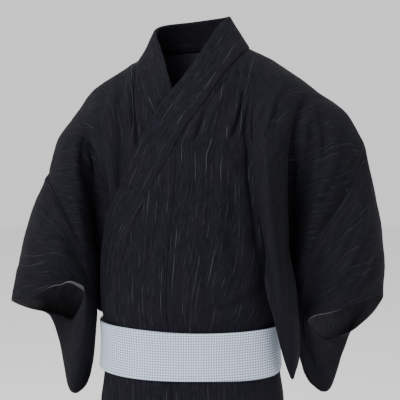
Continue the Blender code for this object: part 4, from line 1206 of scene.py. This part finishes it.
def hanging_fold_cloth(cloth_rows, flat):
    """The panel's own cloth where it is drawn out into a fold, carried on down over the obi."""
    base = np.array(cloth_rows)
    first, last = [len(BELOW_OBI) + row for row in (FOLD_LOW_ROW, FOLD_TOP_ROW)]
    top = flat[last, 0, 1] + 0.02
    rows, flats = [], []
    for k in range(last, first - 1, -1):
        lift = smooth_step(0.0, FOLD_RISE, last - k)
        points, places = [], []
        for j in FOLD_COLUMNS:
            outward = unit(np.cross(base[k, j + 1] - base[k, j - 1], base[k + 1, j] - base[k - 1, j]))
            raised = base[k, j] + outward * (-FOLD_SUNK + lift * (FOLD_LIFT + FOLD_SUNK))
            points.append(raised + np.array([0.0, -FOLD_FORWARD * lift, 0.0]))
            below = min(max(top - flat[k, j, 1], 0.0), SLANT_REACH)
            places.append(flat[k, j] + np.array([FOLD_SLANT * below, 0.0]))
        rows.append(rolled(points, lift))
        flats.append(rolled_flat(places))
    for row in FOLD_OVER_OBI:
        inner_edge, crest, outer_edge = np.array(row)
        half = [inner_edge, (inner_edge + crest) / 2 + (crest - inner_edge) * (0.0, FOLD_BULGE, 0.0), crest,
                (crest + outer_edge) / 2 + (crest - outer_edge) * (0.0, FOLD_BULGE, 0.0), outer_edge]
        points = [along(half, 4 * j / (len(FOLD_COLUMNS) - 1)) for j in range(len(FOLD_COLUMNS))]
        step = np.linalg.norm(points[0] - rows[-1][3])
        places = [p + np.array([FOLD_SLANT * step, -step]) for p in flats[-1][3:]]
        rows.append(rolled(points, 1.0))
        flats.append(rolled_flat(places))
    return rows, np.array(flats)


def rolled(points, lift):
    """Adds the fold's inner edge, rolled under."""
    out = unit(points[0] - points[1])
    normal = unit(np.cross(np.array([0.0, 0.0, 1.0]), out))
    normal = normal if normal[1] > 0 else -normal
    end = 0.0025 + 0.0015 * lift
    return [points[0] + out * away + normal * depth * lift
            for away, depth in zip((-ROLL_STEP, end * 0.6, end), ROLL_DEPTHS)] + list(points)


def rolled_flat(places):
    return [places[0] - np.array([k * ROLL_STEP, 0.0]) for k in (3, 2, 1)] + list(places)


fold_rows, fold_flat = hanging_fold_cloth(*panel_grids[1])
fold = Cloth(fold_rows, step=FOLD_STEP, flat=fold_flat).face((0.15, 0.0, -0.45), 0.5, 0.6)
dressed(fold, "body_left_fold", ("first",), 0.0008, 2.0)

for name, cloth in cloths.items():
    is_sleeve = "sleeve" in name
    hand_over(make_cloth(cloth, name + "_cloth", (cotton, sleeve_reverse if is_sleeve else reverse)), name)
hand_over(make_cloth(fold, "body_left_fold_cloth", (cotton, cotton)), "body_left_fold")


# Collar

def collar_length(at):
    return run_lengths([along(COLLAR_FREE, at * k / COLLAR_PIECES) for k in range(COLLAR_PIECES + 1)])[-1]


def band_wave(at, a, width):
    """Slight ease across the band, puckers at its seam and a dip where the over-collar's hem ends."""
    ease = 0.0009 * noise.noise(Vector((at * 1.7, a / 0.03, 5.0)))
    pucker = 0.0006 * noise.noise(Vector((at * 9.0, 2.0, 8.0))) * math.exp(-((width - a) / 0.008) ** 2)
    hems = (PATCH_ENDS[0] - 0.06, PATCH_ENDS[1] + 0.06)
    dip = 0.0010 * sum(math.exp(-((at - hem) / 0.10) ** 2) for hem in hems)
    return ease + pucker - dip


def add_band(node, start, end, inset, half_wall, shift):
    def section(at):
        free, across, width, normal = collar_frame(at)
        if normal[1] > 0 and not NECK_STATIONS[0] <= at <= NECK_STATIONS[1]:
            normal = -normal
        run = collar_length(at)
        return [(free + across * a + normal * (b + band_wave(at, a, width)), a + shift, run)
                for a, b in round_profile(half_wall, inset, width + BAND_REACH)]

    count = int(round((end - start) / BAND_STEP))
    stations = [start + (end - start) * k / count for k in range(count + 1)]
    hand_over(strip(node + "_cloth", stations, section, False, cotton), node)


add_band("collar_band", 0.0, len(COLLAR) - 1.0, 0.0, BAND_HALF, 0.6)
add_band("over_collar", *PATCH_ENDS, PATCH_INSET, PATCH_HALF, 0.8)


# Obi

def obi_turn(name, lift, drop_left, drop_right):
    """One turn of the obi, a rounded strip whose height above the waist's line varies round the body."""
    def section(index):
        angle = -180.0 + 360.0 * index / OBI_FINE
        shift = (drop_left * math.exp(-((angle - 52.0) / 34.0) ** 2)
                 + drop_right * math.exp(-((angle + 48.0) / 30.0) ** 2))
        points = []
        for a, b in round_profile(OBI_WALL / 2, -OBI_WIDTH / 2, OBI_WIDTH / 2):
            z = OBI_TOP - OBI_WIDTH / 2 - a + shift
            ease = 0.0007 * noise.noise(Vector((angle / 16.0, a / 0.030, 3.0 + lift * 900.0)))
            base_z = max(min(z, OBI_TOP), OBI_TOP - OBI_WIDTH)
            out = lap_lift(angle) + OBI_CLEAR + (lift + b + OBI_WALL / 2 + ease)
            point = body_point(angle, base_z, out) + np.array([0.0, 0.0, z - base_z])
            points.append((point, index / OBI_FINE * OBI_ROUND, a + 0.1))
        return points

    hand_over(strip(name, range(OBI_FINE), section, True, obi_cloth), "obi")


def knot_piece(node, thickness, tilt, lift, bow):
    """A folded end of the obi across the middle of the back."""
    width, length, _ = CUTS[node]
    c, s = math.cos(math.radians(tilt)), math.sin(math.radians(tilt))

    def section(index):
        a = -length / 2 + length * index / KNOT_PIECES
        points = []
        for b, out in round_profile(thickness / 2, -width / 2, width / 2):
            x, z = a * c - b * s, OBI_TOP - OBI_WIDTH / 2 + a * s + b * c
            raised = lift + bow * (1 - (2 * a / length) ** 2) + out + thickness / 2
            y = on_body(x, min(z, OBI_TOP), 0.0, True)[1] + KNOT_SEAT + raised
            points.append((np.array([x, y, z]), a + 0.5, b + 0.2))
        return points

    hand_over(strip(node + "_cloth", range(KNOT_PIECES + 1), section, False, obi_cloth), node)


obi_turn("obi_inner_turn", 0.0, -0.0042, 0.0040)
obi_turn("obi_outer_turn", OBI_WALL + 0.0003, 0.0, 0.0)
knot_piece("obi_knot", 0.007, 34.0, 0.0, 0.008)
knot_piece("obi_knot_end", 0.006, -38.0, 0.0070, 0.012)


# Floor, light and camera

def place_at(thing, name, place, aim):
    """Puts a lamp or the camera at a place, turned towards another."""
    made = bpy.data.objects.new(name, thing)
    made.location = place
    made.rotation_euler = (Vector(aim) - Vector(place)).to_track_quat("-Z", "Y").to_euler()
    bpy.context.scene.collection.objects.link(made)
    return made


floor_half, floor_z = 7.0, HEM - 0.006
floor_corners = [(x * floor_half, y * floor_half, floor_z) for x, y in ((-1, -1), (1, -1), (1, 1), (-1, 1))]
pale = floor_finish("pale floor", (0.86, 0.86, 0.86))
add_object("pale_floor", floor_corners, [(0, 1, 2, 3)], [pale])

for name, place, size, power in (("key_softbox", (-1.7, -2.3, 1.5), (1.6, 1.6), 190.0),
                                 ("fill_softbox", (2.3, -1.9, 0.5), (1.6, 2.0), 32.0),
                                 ("top_softbox", (0.0, 0.6, 2.3), (1.8, 1.4), 35.0)):
    light = bpy.data.lights.new(name, "AREA")
    light.shape = "RECTANGLE"
    light.size, light.size_y = size
    light.energy = power
    place_at(light, name, place, (0.0, 0.0, -0.45))

world = bpy.data.worlds.new("white room")
bpy.context.scene.world = world
world.use_nodes = True
world.node_tree.nodes["Background"].inputs["Color"].default_value = (1.0, 1.0, 1.0, 1.0)
world.node_tree.nodes["Background"].inputs["Strength"].default_value = 1.0

lens = bpy.data.cameras.new("camera")
lens.sensor_width = 36.0
lens.lens = 113.2
bpy.context.scene.camera = place_at(lens, "camera", (EYE_SIDE, -EYE_DISTANCE, 0.0), (EYE_SIDE, -0.1, -0.296))
